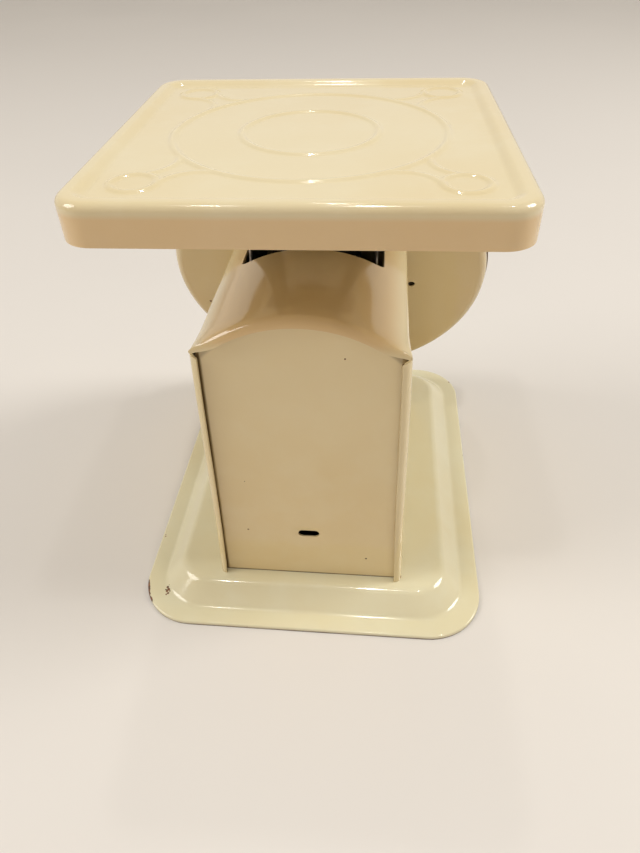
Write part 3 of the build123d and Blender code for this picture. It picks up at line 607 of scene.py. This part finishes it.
column_rear = shell_high.y
roof_crown = shell_high.z
spring_line = 150.0
half_floor, half_spring = 47.6, 42.3
column_toe = -88.0
flange_roll = 4.0
side_lean = (half_floor - half_spring) / spring_line
roof_rise = roof_crown - spring_line
roof_radius = (half_spring**2 + roof_rise**2) / (2 * roof_rise)
opening_half, opening_front, opening_rear, opening_corner = 32.0, -16.0, 31.0, 3.5
shoulder_radius = 3.5       # bend between the side and the roof
notch_rows = 5              # rows of the rear flange that the corner notches cut through


def arch_section(inset):
    """(x, z) of the column's section, from the +X foot over the roof to the -X foot."""
    side_steps, shoulder_steps, roof_steps = 26, 7, 46
    a = 1 + side_lean**2
    slope = sqrt(a)
    shift = inset * slope
    radius = roof_radius - inset
    centre_z = roof_crown - roof_radius
    # The shoulder's centre lies one bend radius inside both the side line and the roof arc.
    bend = max(shoulder_radius - inset, 0.4)
    line = half_floor - shift - bend * slope
    b = -2 * side_lean * line - 2 * centre_z
    c = line**2 + centre_z**2 - (radius - bend) ** 2
    shoulder_z = (-b + sqrt(b * b - 4 * a * c)) / (2 * a)
    shoulder_x = line - side_lean * shoulder_z
    roof_angle = atan2(shoulder_z - centre_z, shoulder_x)
    right = []
    start_x = shoulder_x + bend * cos(side_lean)
    start_z = shoulder_z + bend * sin(side_lean)
    foot_x = half_floor - shift - side_lean * plateau
    for i in range(side_steps):
        share = i / side_steps
        right.append((foot_x + (start_x - foot_x) * share,
                      plateau + (start_z - plateau) * share))
    roof_degrees = degrees(roof_angle)
    right += arc_points((shoulder_x, shoulder_z), bend, degrees(side_lean), roof_degrees,
                        shoulder_steps)
    left = [(-x, z) for x, z in reversed(right)]
    roof = arc_points((0, centre_z), radius, roof_degrees, 180 - roof_degrees, roof_steps)[1:-1]
    return right + roof + left


def rolled_edge(face, radius):
    """(y, inset) round a bend, from where it leaves the side to where it meets the face."""
    turns = [radians(15 * step) for step in range(7)]
    return [(face - radius + radius * sin(turn), radius * (1 - cos(turn))) for turn in turns]


def front_y(z):
    """Where the column's front stands at a height: an upright toe, then the dial's slope."""
    return max(column_toe, dial_centre.y + (z - dial_centre.z) * tan(dial_tilt))


def opening_columns(section):
    """The section with points slid along the roof onto the opening's edges and corners."""
    centre_z = roof_crown - roof_radius
    points = list(section)
    for mark in (opening_half, opening_half - 0.5, opening_half - 1.7,
                 opening_half - opening_corner):
        for side in (-1, 1):
            wanted = side * mark
            free = [i for i, (x, z) in enumerate(points) if z > spring_line + 3]
            nearest = min(free, key=lambda i: abs(points[i][0] - wanted))
            points[nearest] = (wanted, centre_z + sqrt(roof_radius**2 - wanted**2))
    return points


def make_shell():
    mesh = Mesh()
    section = opening_columns(arch_section(0.0))
    stations = []
    for y, inset in reversed(rolled_edge(column_rear, flange_roll)):
        outline = arch_section(inset) if inset > 0.01 else section
        stations.append([(x, y, z) for x, z in outline])
    last_upright = -30.0
    for y in (78.0, 70.0, 60.0, 50.0, 42.0, 36.0, opening_rear, opening_rear - 0.5,
              opening_rear - 1.7, opening_rear - opening_corner, 18.0, 6.0, -4.0,
              opening_front + opening_corner, opening_front + 1.7, opening_front + 0.5,
              opening_front, -23.0, last_upright):
        stations.append([(x, y, z) for x, z in section])
    for share in (0.12, 0.25, 0.38, 0.52, 0.66, 0.80, 0.90, 1.0):
        stations.append([(x, last_upright + (front_y(z) - last_upright) * share, z)
                         for x, z in section])
    # Slight unevenness of the roof and sides, none at the ends where other parts meet them.
    for station in stations[7:-2]:
        for i, (x, y, z) in enumerate(station):
            if abs(x) < opening_half + 3 and opening_front - 4 < y < opening_rear + 4:
                continue
            swell = 0.14 * wave(y, z + x, 30.0, 7.0) * min(1.0, (z - plateau) / 15.0)
            station[i] = (x * (1 + swell / 45.0), y, z)
    for row, station in enumerate(stations):
        for i, (x, y, z) in enumerate(station):
            station[i] = splayed(x, y, z, section[i][1], row)
    rings = [mesh.ring(station) for station in stations]
    off_notch = [abs(z - spring_line) for x, z in section]
    for row, (a, b) in enumerate(zip(rings, rings[1:])):
        for i in range(len(section) - 1):
            if row < notch_rows and off_notch[i] < 1.6 and off_notch[i + 1] < 2.2:
                continue
            face = (a[i], a[i + 1], b[i + 1], b[i])
            corners = [mesh.points[k] for k in face]
            x, y, z = (sum(axis) / 4 for axis in zip(*corners))
            if z > spring_line and abs(x) < opening_half and opening_front < y < opening_rear:
                face = tuple(k for k, p in zip(face, corners) if outside_opening(p))
            if len(face) >= 3:
                mesh.faces.append(face)
    chips = [((-39.8, 87.5, 147.6), 1.6), ((-39.6, 27.3, 157.6), 1.5),
             ((44.0, 60.0, 120.0), 0.9), ((-20.0, 74.0, 164.0), 0.8),
             ((46.6, 86.0, 14.0), 1.8), ((-46.6, 86.0, 14.0), 1.5)]
    obj = mesh.piece("housing_shell_visual", "root",
                     enamel("enamel_column", chips, shell_worn, 0.07, tint=(1.01, 0.97, 0.87),
                            painted_shade=shell_aged))
    thicken(obj, SHEET)
    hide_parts("housing_shell")


def splayed(x, y, z, level, row):
    """The rear edge as bent by hand: wider towards its top, and the roof's corners stick out."""
    side = 1 if x > 0 else -1
    wide = 1.2 * ease(y, 70.0, column_rear)
    past = max(0.0, y - column_rear + flange_roll)
    turned_in = flange_roll - sqrt(max(0.0, flange_roll**2 - past**2))
    if level > spring_line:
        corner = ease(abs(x), 30.0, half_spring - 3.0)
        tip = corner**2 * ease(y, column_rear - 3.0, column_rear)
        return x + side * (wide * corner + tip * (0.70 * turned_in + 0.4)), y, z + 2.2 * tip
    wide = wide * ease(z, 40.0, spring_line) + (0.15 * turned_in if x > 0 else 0.0)
    below_roof = ease(level, spring_line - 9.0, spring_line) if row < notch_rows else 0.0
    drop = 0.3 * turned_in * below_roof
    rise = 0.9 * below_roof
    return x + side * wide, y, z + rise - drop


def outside_opening(point):
    """Whether a point of the roof lies on or outside the opening's rounded outline."""
    x, y = abs(point[0]), point[1]
    middle_y = (opening_rear + opening_front) / 2
    half_y = (opening_rear - opening_front) / 2
    across = x - (opening_half - opening_corner)
    along = abs(y - middle_y) - (half_y - opening_corner)
    if across <= 0 or along <= 0:
        return x >= opening_half - 1e-3 or abs(y - middle_y) >= half_y - 1e-3
    return hypot(across, along) >= opening_corner - 0.15


def shell_aged(n):
    """Painted shade: the roof, which lies in shade under the tray, is drawn browner than the sides."""
    return n.ramp(n.axis(2), (spring_line + 1.0) * MM, (spring_line + 8.0) * MM, 0.0, 0.6)


def shell_worn(n):
    """Paint rubbed off the rear flanges' free edges and the foot."""
    rear = n.ramp(n.axis(1), (column_rear - 0.5) * MM, column_rear * MM)
    foot = n.ramp(n.axis(2), plateau * MM, (plateau + 0.7) * MM, 1.0, 0.0)
    edges = n.highest([n.times(rear, 0.55), n.times(foot, 0.62)])
    return n.patchy(edges, 40.0, 3.0, 0.25, 0.6, 0.5, 1.0)


# ---- rear panel ----

panel_face = panel_high.y
panel_inset = 1.9
panel_lip = 8.0
panel_bend = 1.3
slot_z, slot_half, slot_radius = 42.8, 5.2, 2.2


def make_panel():
    """Flat rear panel with a turned edge and its slot."""
    mesh = Mesh()
    rims = []
    for y in (panel_face - panel_lip, panel_face - 4.0):
        rims.append([(x, y, z) for x, z in arch_section(panel_inset)])
    for y, inset in rolled_edge(panel_face, panel_bend):
        rims.append([(x, y, z) for x, z in arch_section(panel_inset + inset)])
    mesh.loft(rims, closed=False)
    outline = [(x, z) for x, _, z in rims[-1]]
    steps = 24
    outline += [(-outline[0][0] + 2 * outline[0][0] * k / steps, plateau) for k in range(1, steps)]
    half = slot_half - slot_radius
    slot = arc_points((half, slot_z), slot_radius, -90, 90, 12)
    slot += arc_points((-half, slot_z), slot_radius, 90, 270, 12)
    rows = lattice((-48, plateau), (48, roof_crown), 4.0)
    rows = [p for p in rows if inside(p, outline) and not inside(p, slot)]
    points, faces = fill_outline(outline, [slot], clear_of(outline + slot, rows, 1.6))
    dented = []
    for x, z in points:
        calm = clamp(min(hypot(x, z - slot_z) / 30.0, (z - plateau) / 20.0,
                         (half_spring - abs(x)) / 12.0))
        dent = 0.22 * wave(x, z, 34.0, 11.0) * calm - 0.16 * calm
        off_slot = hypot(max(0.0, abs(x) - half), z - slot_z)
        if off_slot < slot_radius + 0.05:
            dent = -0.6         # the slot's edge is pushed in by the punch
        dented.append((x, panel_face + dent, z))
    mesh.patch(dented, faces)
    # The panel widens towards its top as the flanges do.
    mesh.points = [(x * (1 + 0.026 * ease(z, 40.0, spring_line)), y, z) for x, y, z in mesh.points]
    chips = [((28.5, panel_face, 78.0), 0.8), ((30.0, panel_face, 44.0), 1.3),
             ((-17.5, panel_face, 148.0), 0.9), ((-28.5, panel_face, 26.0), 1.2),
             ((12.0, panel_face, 120.0), 0.5)]
    obj = mesh.piece("rear_panel_visual", "root",
                     enamel("enamel_panel", chips, panel_worn, 0.05, 0.35, panel_seams,
                            tint=(1.06, 1.01, 0.90)),
                     merge=0.1)
    thicken(obj, SHEET)
    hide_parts("rear_panel")


def panel_worn(n):
    """Bare steel along the panel's foot, where it meets the base."""
    foot = n.ramp(n.axis(2), plateau * MM, (plateau + 0.9) * MM, 1.0, 0.0)
    return n.patchy(foot, 60.0, 3.0, 0.3, 0.6, 0.35, 0.95)


def panel_seams(n):
    """Painted shade in the gap beside the column's flanges and under the roof's rolled edge, and a darker line
    along the foot.
    """
    x, z = n.axis(0), n.axis(2)
    lean = n.plus(n.math("ABSOLUTE", x), n.times(z, side_lean - 0.009))
    gap = n.ramp(lean, (half_floor - flange_roll - 0.9) * MM, (half_floor - flange_roll + 0.5) * MM)
    # The painted shade is deeper on the side where the flange stands further off the panel.
    depth = n.ramp(x, -0.030, 0.030, 0.12, 1.0)
    depth = n.patchy(depth, 35.0, 2.0, 0.3, 0.6, 0.75, 1.0)
    gap = n.times(gap, depth)
    off = n.make("ShaderNodeCombineXYZ", X=x, Y=0.0,
                 Z=n.math("SUBTRACT", z, (roof_crown - roof_radius) * MM))
    arch = n.ramp(n.vector_math("LENGTH", off.outputs[0]),
                  (roof_radius - flange_roll - 1.6) * MM,
                  (roof_radius - flange_roll + 0.2) * MM, 0.0, 0.45)
    arch = n.times(arch, n.ramp(z, (spring_line - 25.0) * MM, (spring_line - 12.0) * MM))
    foot = n.ramp(z, (plateau + 0.2) * MM, (plateau + 1.0) * MM, 0.9, 0.0)
    return n.highest([gap, arch, foot])


# ---- dial case ----

dial_radius = 91.2
case_depth = 13.2
case_sheet = 0.8
case_roll = 5.0
case_holes = [(48.8, -2.5), (-48.8, -2.5)]
case_hole_radius = 2.0


def turned(profile, steps=160):
    """Rings about the dial's axis from (radius, height) points, in the dial's own axes."""
    turns = [2 * pi * k / steps for k in range(steps)]
    return [[(radius * cos(turn), radius * sin(turn), height) for turn in turns]
            for radius, height in profile]


def make_case():
    """Shallow pressed case with a rolled rear edge and two small holes in its back."""
    mesh = Mesh()
    profile = [(dial_radius, case_depth), (dial_radius, case_depth - 2.5),
               (dial_radius, case_depth - 5.0)]
    profile += [(dial_radius - case_roll + case_roll * cos(radians(a)),
                 case_roll - case_roll * sin(radians(a))) for a in range(0, 91, 9)]
    rings = mesh.loft(turned(profile))
    flat = [mesh.points[i][:2] for i in rings[-1]]
    holes = [circle(place, case_hole_radius, 24) for place in case_holes]
    holes.append(circle((0, 0), 3.5, 32))
    flat_radius = dial_radius - case_roll
    rows = [p for p in lattice((-flat_radius, -flat_radius), (flat_radius, flat_radius), 6.0)
            if hypot(*p) < flat_radius - 3 and not any(inside(p, hole) for hole in holes)]
    edges = [p for hole in holes for p in hole]
    points, faces = fill_outline(flat, holes, clear_of(edges, rows, 0.4))
    dented = []
    for x, y in points:
        away = clamp((flat_radius - hypot(x, y)) / 14.0) * (hypot(x, y) > 45)
        dented.append((x, y, 0.20 * away * wave(x, y, 32.0, 5.0) + 0.10 * away))
    mesh.patch(dented, faces)
    chips = [(on_dial(76, -22.5), 1.7), (on_dial(88, -6, 2), 2.0),
             (on_dial(89, 4, 3), 1.6), (on_dial(-84.5, -22, 2), 3.0), (on_dial(-81, -32, 2), 2.4),
             (on_dial(-76, -41, 2), 2.6), (on_dial(60, -65, 3), 1.8), (on_dial(-30, -86, 4), 2.2),
             (on_dial(20, 88, 4), 1.6)]
    # The case's enamel is tinted darker and browner than the other cream parts: painted shade for its back, which
    # lies under the tray.
    obj = mesh.piece("dial_case_visual", "root",
                     enamel("enamel_case", chips, None, 0.08, tint=(0.89, 0.82, 0.72)),
                     place=dial_place)
    thicken(obj, case_sheet)
    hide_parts("dial_case")


# ---- dial face, bezel and glass ----

bezel_outer = dial_radius + 0.95
bezel_back, bezel_front, bezel_opening = 8.2, 16.1, 85.0
plate_face = 7.0
pounds = 24
parts_of_pound = 8
tick_outer = 80.5
inner_circle = 52.6
ink_height = 0.05
number_radius = 62.5


def make_bezel():
    """Rolled ring that holds the glass."""
    mesh = Mesh()
    crown = 2.6
    profile = [(dial_radius + 0.05, bezel_back), (bezel_outer, bezel_back),
               (bezel_outer, bezel_front - crown)]
    profile += arc_points((bezel_outer - crown, bezel_front - crown), crown, 12, 90, 8)
    profile += [(bezel_opening + 1.2, bezel_front)]
    profile += arc_points((bezel_opening + 0.6, bezel_front - 0.6), 0.6, 90, 200, 6)
    profile += [(bezel_opening + 0.5, bezel_front - 0.9), (dial_radius - 1.2, bezel_front - 0.9),
                (dial_radius + 0.05, bezel_front - 2.2)]
    rings = mesh.loft(turned(profile, 192))
    mesh.bridge(rings[-1], rings[0])

    def rim(angle, height):
        return on_dial(bezel_outer * cos(radians(angle)), bezel_outer * sin(radians(angle)), height)

    def seam(n):
        """Dirt and rust in the joint behind the ring, broken along its length."""
        height = n.vector_math("DOT_PRODUCT", n.coordinates, tuple(dial_normal))
        start = (dial_centre.dot(dial_normal) + bezel_back) * MM
        joint = n.ramp(height, start + 0.0003, start + 0.0008, 1.0, 0.0)
        return n.patchy(joint, 14.0, 3.0, 0.30, 0.55, 0.3, 1.0)

    chips = [(rim(200, 9), 2.5), (rim(222, 10), 3.0), (rim(232, 9), 2.2), (rim(340, 12), 2.4),
             (rim(300, 14), 1.9), (rim(95, 12), 2.0), (rim(150, 14), 1.6)]
    obj = mesh.piece("bezel_ring_visual", "root",
                     enamel("enamel_bezel", chips, None, 0.05, seams=seam), place=dial_place)
    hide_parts("bezel_ring")


def tick(mesh, angle, length, width):
    """Raised stroke on the dial, in from the ticks' circle; angles run clockwise from the top."""
    along = Vector((sin(radians(angle)), cos(radians(angle))))
    across = Vector((along.y, -along.x)) * width / 2
    inner = tick_outer - length
    base = [along * inner - across, along * inner + across, along * tick_outer + across,
            along * tick_outer - across]
    low = mesh.ring([(p.x, p.y, plate_face) for p in base])
    high = mesh.ring([(p.x, p.y, plate_face + ink_height) for p in base])
    mesh.bridge(low, high)
    mesh.faces.append(tuple(high))


def band(mesh, inner, outer):
    """Raised ring on the dial."""
    top = plate_face + ink_height
    mesh.loft(turned([(inner, plate_face), (inner, top), (outer, top), (outer, plate_face)], 240))


def make_markings(material):
    mesh = Mesh()
    lengths = {8: (9.5, 0.95), 4: (7.0, 0.60), 2: (5.0, 0.42), 1: (3.4, 0.30)}
    parts = pounds * parts_of_pound
    for i in range(parts + 1):
        share = max(part for part in lengths if i % part == 0)
        tick(mesh, pointer_sweep * i / parts, *lengths[share])
    band(mesh, tick_outer + 0.2, tick_outer + 0.8)
    band(mesh, inner_circle, inner_circle + 0.4)
    obj = mesh.piece("dial_markings", "root", material, place=dial_place, smooth_angle=20)


def make_numbers(material):
    """Numbers 0 to the full load, upright, inside the ticks."""
    joined = bmesh.new()
    for value in range(pounds + 1):
        large = value % 4 == 0
        curve = bpy.data.curves.new("number", "FONT")
        curve.body = str(value)
        curve.align_x = "CENTER"
        curve.align_y = "CENTER"
        curve.size = (11.5 if large else 8.0) * MM
        curve.extrude = 0.03 * MM
        curve.resolution_u = 6
        text = linked("number", curve)
        angle = radians(pointer_sweep * value / pounds)
        spot = Vector((number_radius * sin(angle), number_radius * cos(angle), plate_face + 0.03))
        text.matrix_world = Matrix.LocRotScale(
            (dial_place @ spot) * MM, dial_place.to_3x3().to_quaternion(), None)
        bpy.context.view_layer.update()
        data = bpy.data.meshes.new_from_object(
            text.evaluated_get(bpy.context.evaluated_depsgraph_get()))
        data.transform(text.matrix_world)
        joined.from_mesh(data)
        bpy.data.objects.remove(text)
    total = bpy.data.meshes.new("dial_numbers")
    joined.to_mesh(total)
    joined.free()
    obj = linked("dial_numbers", total)
    tidy(obj, 1e-3, 20)
    paint(obj, material)
    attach(obj, "root")


# ---- tray ----

tray_half = tray_high.x
tray_y = (tray_high.y + tray_low.y) / 2
tray_top, tray_bottom = tray_high.z, tray_low.z
tray_corner, tray_bend = 12.0, 3.0
tray_turn = 1.2             # degrees about the vertical
tray_sheet = 0.9
rim_step = 1.8
field_z = tray_top - rim_step
step_outer, step_inner = 5.0, 9.6
bead_half, bead_height = 2.0, 0.75
ring_radii = (27.0, 54.0)
corner_offset, corner_radius = 55.6, 8.0
neck_radius = 14.0


def bead_lines():
    """Centre lines of the pressed beads: (x, y) from the tray's centre, height share, closed."""
    step = 1.1
    lines = []
    for radius in ring_radii:
        lines.append((circle((0, 0), radius, int(2 * pi * radius / step)), 1.0, True))
    far = corner_offset * sqrt(2)
    big, small = ring_radii[1], corner_radius
    # The neck's arc touches the big ring and the corner ring from outside.
    to_neck = big + neck_radius
    lean = (to_neck**2 + far**2 - (small + neck_radius) ** 2) / (2 * to_neck * far)
    off = sqrt(1 - lean**2)
    for sx in (-1, 1):
        for sy in (-1, 1):
            centre = (sx * corner_offset, sy * corner_offset)
            ring = circle(centre, corner_radius, int(2 * pi * corner_radius / step))
            lines.append((ring, 1.0, True))
            along = Vector((sx, sy)) / sqrt(2)
            across = Vector((-along.y, along.x))
            for side in (-1, 1):
                hub = along * to_neck * lean + across * side * to_neck * off
                start = -hub
                end = Vector(centre) - hub
                first = atan2(start.y, start.x)
                turn = (atan2(end.y, end.x) - first + pi) % (2 * pi) - pi
                steps = max(4, int(abs(turn) * neck_radius / step))
                lines.append(([(hub.x + neck_radius * cos(first + turn * k / steps),
                                hub.y + neck_radius * sin(first + turn * k / steps))
                               for k in range(steps + 1)], 0.75, False))
    return [(np.array(points), share, closed) for points, share, closed in lines]


def tray_field():
    """Points of the tray's flat field and their heights, dense across the beads."""
    lines = bead_lines()
    rows = []
    # Rows of points beside each line, nearest first, so that those are kept before the others.
    for offset in (0.0, 0.5, -0.5, 1.0, -1.0, 1.5, -1.5, 2.0, -2.0, 2.6, -2.6):
        for points, _, closed in lines:
            before = np.roll(points, 1, axis=0)
            after = np.roll(points, -1, axis=0)
            if not closed:
                before[0], after[-1] = points[0], points[-1]
            along = after - before
            normal = np.stack([-along[:, 1], along[:, 0]], axis=1)
            normal /= np.linalg.norm(normal, axis=1, keepdims=True)
            rows += [tuple(p) for p in points + normal * offset]
    reach = tray_half - step_inner
    rows = [(x, y) for x, y in rows if max(abs(x), abs(y)) < reach - 0.5]
    dense = spread(rows, 0.42)
    every = np.concatenate([points for points, _, _ in lines])
    coarse = []
    for x, y in lattice((-reach, -reach), (reach, reach), 2.6):
        if np.min(np.hypot(every[:, 0] - x, every[:, 1] - y)) > 3.2:
            coarse.append((x, y))
    return dense + coarse, lines


def bead_heights(points, lines):
    """Height of the beads at each point, rounded together where they meet."""
    xy = np.array(points)
    total = np.zeros(len(xy))
    for line, share, _ in lines:
        best = np.full(len(xy), 1e9)
        for x, y in line:
            best = np.minimum(best, np.hypot(xy[:, 0] - x, xy[:, 1] - y))
        # The centre line is sampled, so a small distance counts as none.
        away = np.clip(best / (bead_half + 0.3), 0, 1)
        total += (share * bead_height * np.cos(away * pi / 2) ** 2) ** 4
    return total ** 0.25


def tray_ring(inset, z):
    radius = max(tray_corner - inset * 0.85, 3.0)
    ring = rounded_rectangle(tray_half - inset, tray_half - inset, radius, 14, 48)
    return [(x, tray_y + y, z) for x, y in ring]


def make_tray():
    mesh = Mesh()
    profile = [(0.0, tray_bottom + z) for z in (0.0, 0.5, 3.0, 6.0, 9.0)]
    profile += arc_points((tray_bend, tray_top - tray_bend), tray_bend, 180, 90, 9)
    profile.append((4.0, tray_top))
    profile += [(step_outer + (step_inner - step_outer) * share,
                 field_z + rim_step * (0.5 + 0.5 * cos(pi * share)))
                for share in (k / 10 for k in range(11))]
    loops = mesh.loft([tray_ring(inset, z) for inset, z in profile])
    edge = [(mesh.points[i][0], mesh.points[i][1] - tray_y) for i in loops[-1]]
    points, lines = tray_field()
    near_edge = [p for p in points if inside(p, edge)
                 and max(abs(p[0]), abs(p[1])) < tray_half - step_inner - 0.8]
    found, faces = fill_outline(edge, [], near_edge)
    heights = bead_heights(found, lines)
    field = []
    for (x, y), bead in zip(found, heights):
        calm = clamp((tray_half - step_inner - max(abs(x), abs(y))) / 10.0)
        dish = 0.12 * wave(x, y, 42.0, 2.0) * calm
        field.append((x, tray_y + y, field_z + bead + dish))
    mesh.patch(field, faces)
    chips = [((tray_half - 0.5, tray_y - 60.0, tray_bottom + 1.0), 1.4),
             ((-30.0, tray_y - tray_half, tray_bottom), 1.2)]
    # The tray sits a little turned on its spider.
    centre = Matrix.Translation((0, tray_y, 0))
    turned_tray = centre @ Matrix.Rotation(radians(tray_turn), 4, "Z") @ centre.inverted()
    obj = mesh.piece("platform_visual", "tray_carriage",
                     enamel("enamel_tray", chips, tray_worn, 0.02, 0.10, painted_shade=tray_aged),
                     place=turned_tray, merge=0.03)
    thicken(obj, tray_sheet)
    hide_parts("platform")


def tray_aged(n):
    """Painted shade: the skirt, a side face lit less than the top, is drawn browner than the tray's top."""
    return n.ramp(n.axis(2), (tray_bottom + 9.0) * MM, (tray_bottom + 11.5) * MM, 0.6, 0.0)


def tray_worn(n):
    """A few rubbed places along the skirt's lower edge."""
    low = n.ramp(n.axis(2), tray_bottom * MM, (tray_bottom + 0.5) * MM, 1.0, 0.0)
    return n.patchy(low, 22.0, 3.0, 0.40, 0.70, 0.1, 0.75)


# ---- springs ----

wire_radius = 1.0
coil_radius = 6.0
coil_turns = 22
hanger_travel = 1.1         # room for the upper plug's head when the hanger is wound down


def make_spring(node, name, material):
    """Coil of round wire in the spring node's place, built as one fixed mesh; in the scale its foot sinks with the
    tray and its top stays with the frame.
    """
    low, high = mm_box(node)
    centre = ((low.x + high.x) / 2, (low.y + high.y) / 2)
    bottom, top = low.z + wire_radius, high.z - wire_radius - hanger_travel
    mesh = Mesh()
    per_turn, around = 30, 10
    total = coil_turns * per_turn
    rings = []
    for k in range(total + 1):
        angle = 2 * pi * k / per_turn
        z = bottom + (top - bottom) * k / total
        hub = Vector((cos(angle), sin(angle)))
        wire = [2 * pi * i / around for i in range(around)]
        rings.append([(centre[0] + hub.x * (coil_radius + wire_radius * cos(turn)),
                       centre[1] + hub.y * (coil_radius + wire_radius * cos(turn)),
                       z + wire_radius * sin(turn)) for turn in wire])
    loops = mesh.loft(rings)
    mesh.faces += [tuple(reversed(loops[0])), tuple(loops[-1])]
    obj = mesh.build(name, material, smooth_angle=50)
    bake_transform(obj)
    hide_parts(node)


# ---- carried-over CAD nodes ----


def finish_nodes(materials):
    """Give each CAD node that still shows its material; chosen by the record's slots."""
    for part in frame["record"]["subparts"]:
        obj = frame["nodes"][part["node"]]
        if not obj.hide_render:
            paint(obj, materials[part["material_slot"]])


# ---- stage ----

floor_size = 30.0           # metres
lamp_target = (0, 0, 0.12)


def make_floor():
    n = Nodes("floor")
    cloud = n.noise(3.0, 3.0)
    colour = n.mix(cloud, (0.74, 0.72, 0.70), (0.78, 0.76, 0.74))
    material = n.finish(colour, n.ramp(cloud, 0.3, 0.7, 0.30, 0.36), IOR=1.45)
    half = floor_size / 2
    data = bpy.data.meshes.new("floor")
    data.from_pydata([(-half, -half, 0), (half, -half, 0), (half, half, 0), (-half, half, 0)], [],
                     [(0, 1, 2, 3)])
    data.materials.append(material)
    floor = linked("floor", data)


def round_lamp(name, place, size, power):
    """Warm white disk that faces the scale; metres and watts."""
    data = bpy.data.lights.new(name, "AREA")
    data.shape = "DISK"
    data.size = size
    data.energy = power
    data.color = (1.0, 0.965, 0.905)
    obj = linked(name, data)
    obj.location = place
    direction = Vector(lamp_target) - Vector(place)
    obj.rotation_mode = "QUATERNION"
    obj.rotation_quaternion = direction.to_track_quat("-Z", "Y")


def make_lights():
    """Warm room: a pale wall before the dial, a dimmer room behind the viewer, lamps above."""
    world = bpy.data.worlds.new("studio")
    n = Nodes("studio", world)
    room = n.mix(n.ramp(n.axis(1), -0.5, 0.5), (0.75, 0.68, 0.58), (0.46, 0.33, 0.24))
    sky = n.mix(n.ramp(n.axis(2), 0.1, 0.9), room, (0.31, 0.29, 0.26))
    n.put(n.shader, "Color", sky)
    bpy.context.scene.world = world
    round_lamp("side_left", (1.5, 0.4, 1.3), 1.0, 14)
    round_lamp("side_right", (-1.5, -0.2, 1.4), 0.8, 18)
    round_lamp("lamp_key", (-0.05, 0.30, 2.2), 0.10, 5)
    for i, (x, y) in enumerate(((-0.6, 0.1), (0.5, 0.5), (0.1, -0.9))):
        round_lamp(f"lamp_{i}", (x, y, 2.2), 0.10, 2.5)
    bpy.context.scene.view_settings.view_transform = "Standard"


# Where the viewer stands: behind the scale, above it and slightly to one side.
camera_place = (-28.7, 291.0, 291.9)
yaw, pitch, roll = radians(-5.99), radians(40.82), radians(-1.64)
camera_lens = 27.44


def make_camera():
    data = bpy.data.cameras.new("camera")
    data.lens = camera_lens
    data.sensor_width = 36.0
    data.clip_start = 0.01
    obj = linked("camera", data)
    forward = Vector((-sin(yaw) * cos(pitch), -cos(yaw) * cos(pitch), -sin(pitch)))
    level = Vector((-cos(yaw), sin(yaw), 0))
    upright = level.cross(forward)
    right = level * cos(roll) + upright * sin(roll)
    up = upright * cos(roll) - level * sin(roll)
    obj.matrix_world = axes_matrix(right, up, -forward, [c * MM for c in camera_place])
    bpy.context.scene.camera = obj


# ---- assembly ----

spring_wire = metal("spring_steel", (0.20, 0.19, 0.18), (0.34, 0.33, 0.31), 0.30)
print_ink = ink("print_ink", (0.012, 0.012, 0.013), 0.45)
slots = {
    "cream_enamel": enamel("enamel_plain"),
    "black_enamel": black_enamel(),
    "zinc_steel": metal("zinc_steel", (0.42, 0.41, 0.39), (0.60, 0.59, 0.56), 0.32),
    "spring_steel": spring_wire,
    "brass": metal("brass", (0.55, 0.36, 0.12), (0.74, 0.54, 0.24), 0.28, tarnish=0.4),
    "dial_white": dial_paper(),
    "pointer_black": ink("pointer_black", (0.010, 0.010, 0.012), 0.30),
    "glass": glass(),
    "rubber": rubber(),
}

make_camera()
make_base()
make_shell()
make_panel()
make_case()
make_bezel()
make_markings(print_ink)
make_numbers(print_ink)
make_tray()
make_spring("spring_left", "spring_left_visual", spring_wire)
make_spring("spring_right", "spring_right_visual", spring_wire)
finish_nodes(slots)
paint(frame["nodes"]["yoke"], yoke_paint())
make_floor()
make_lights()
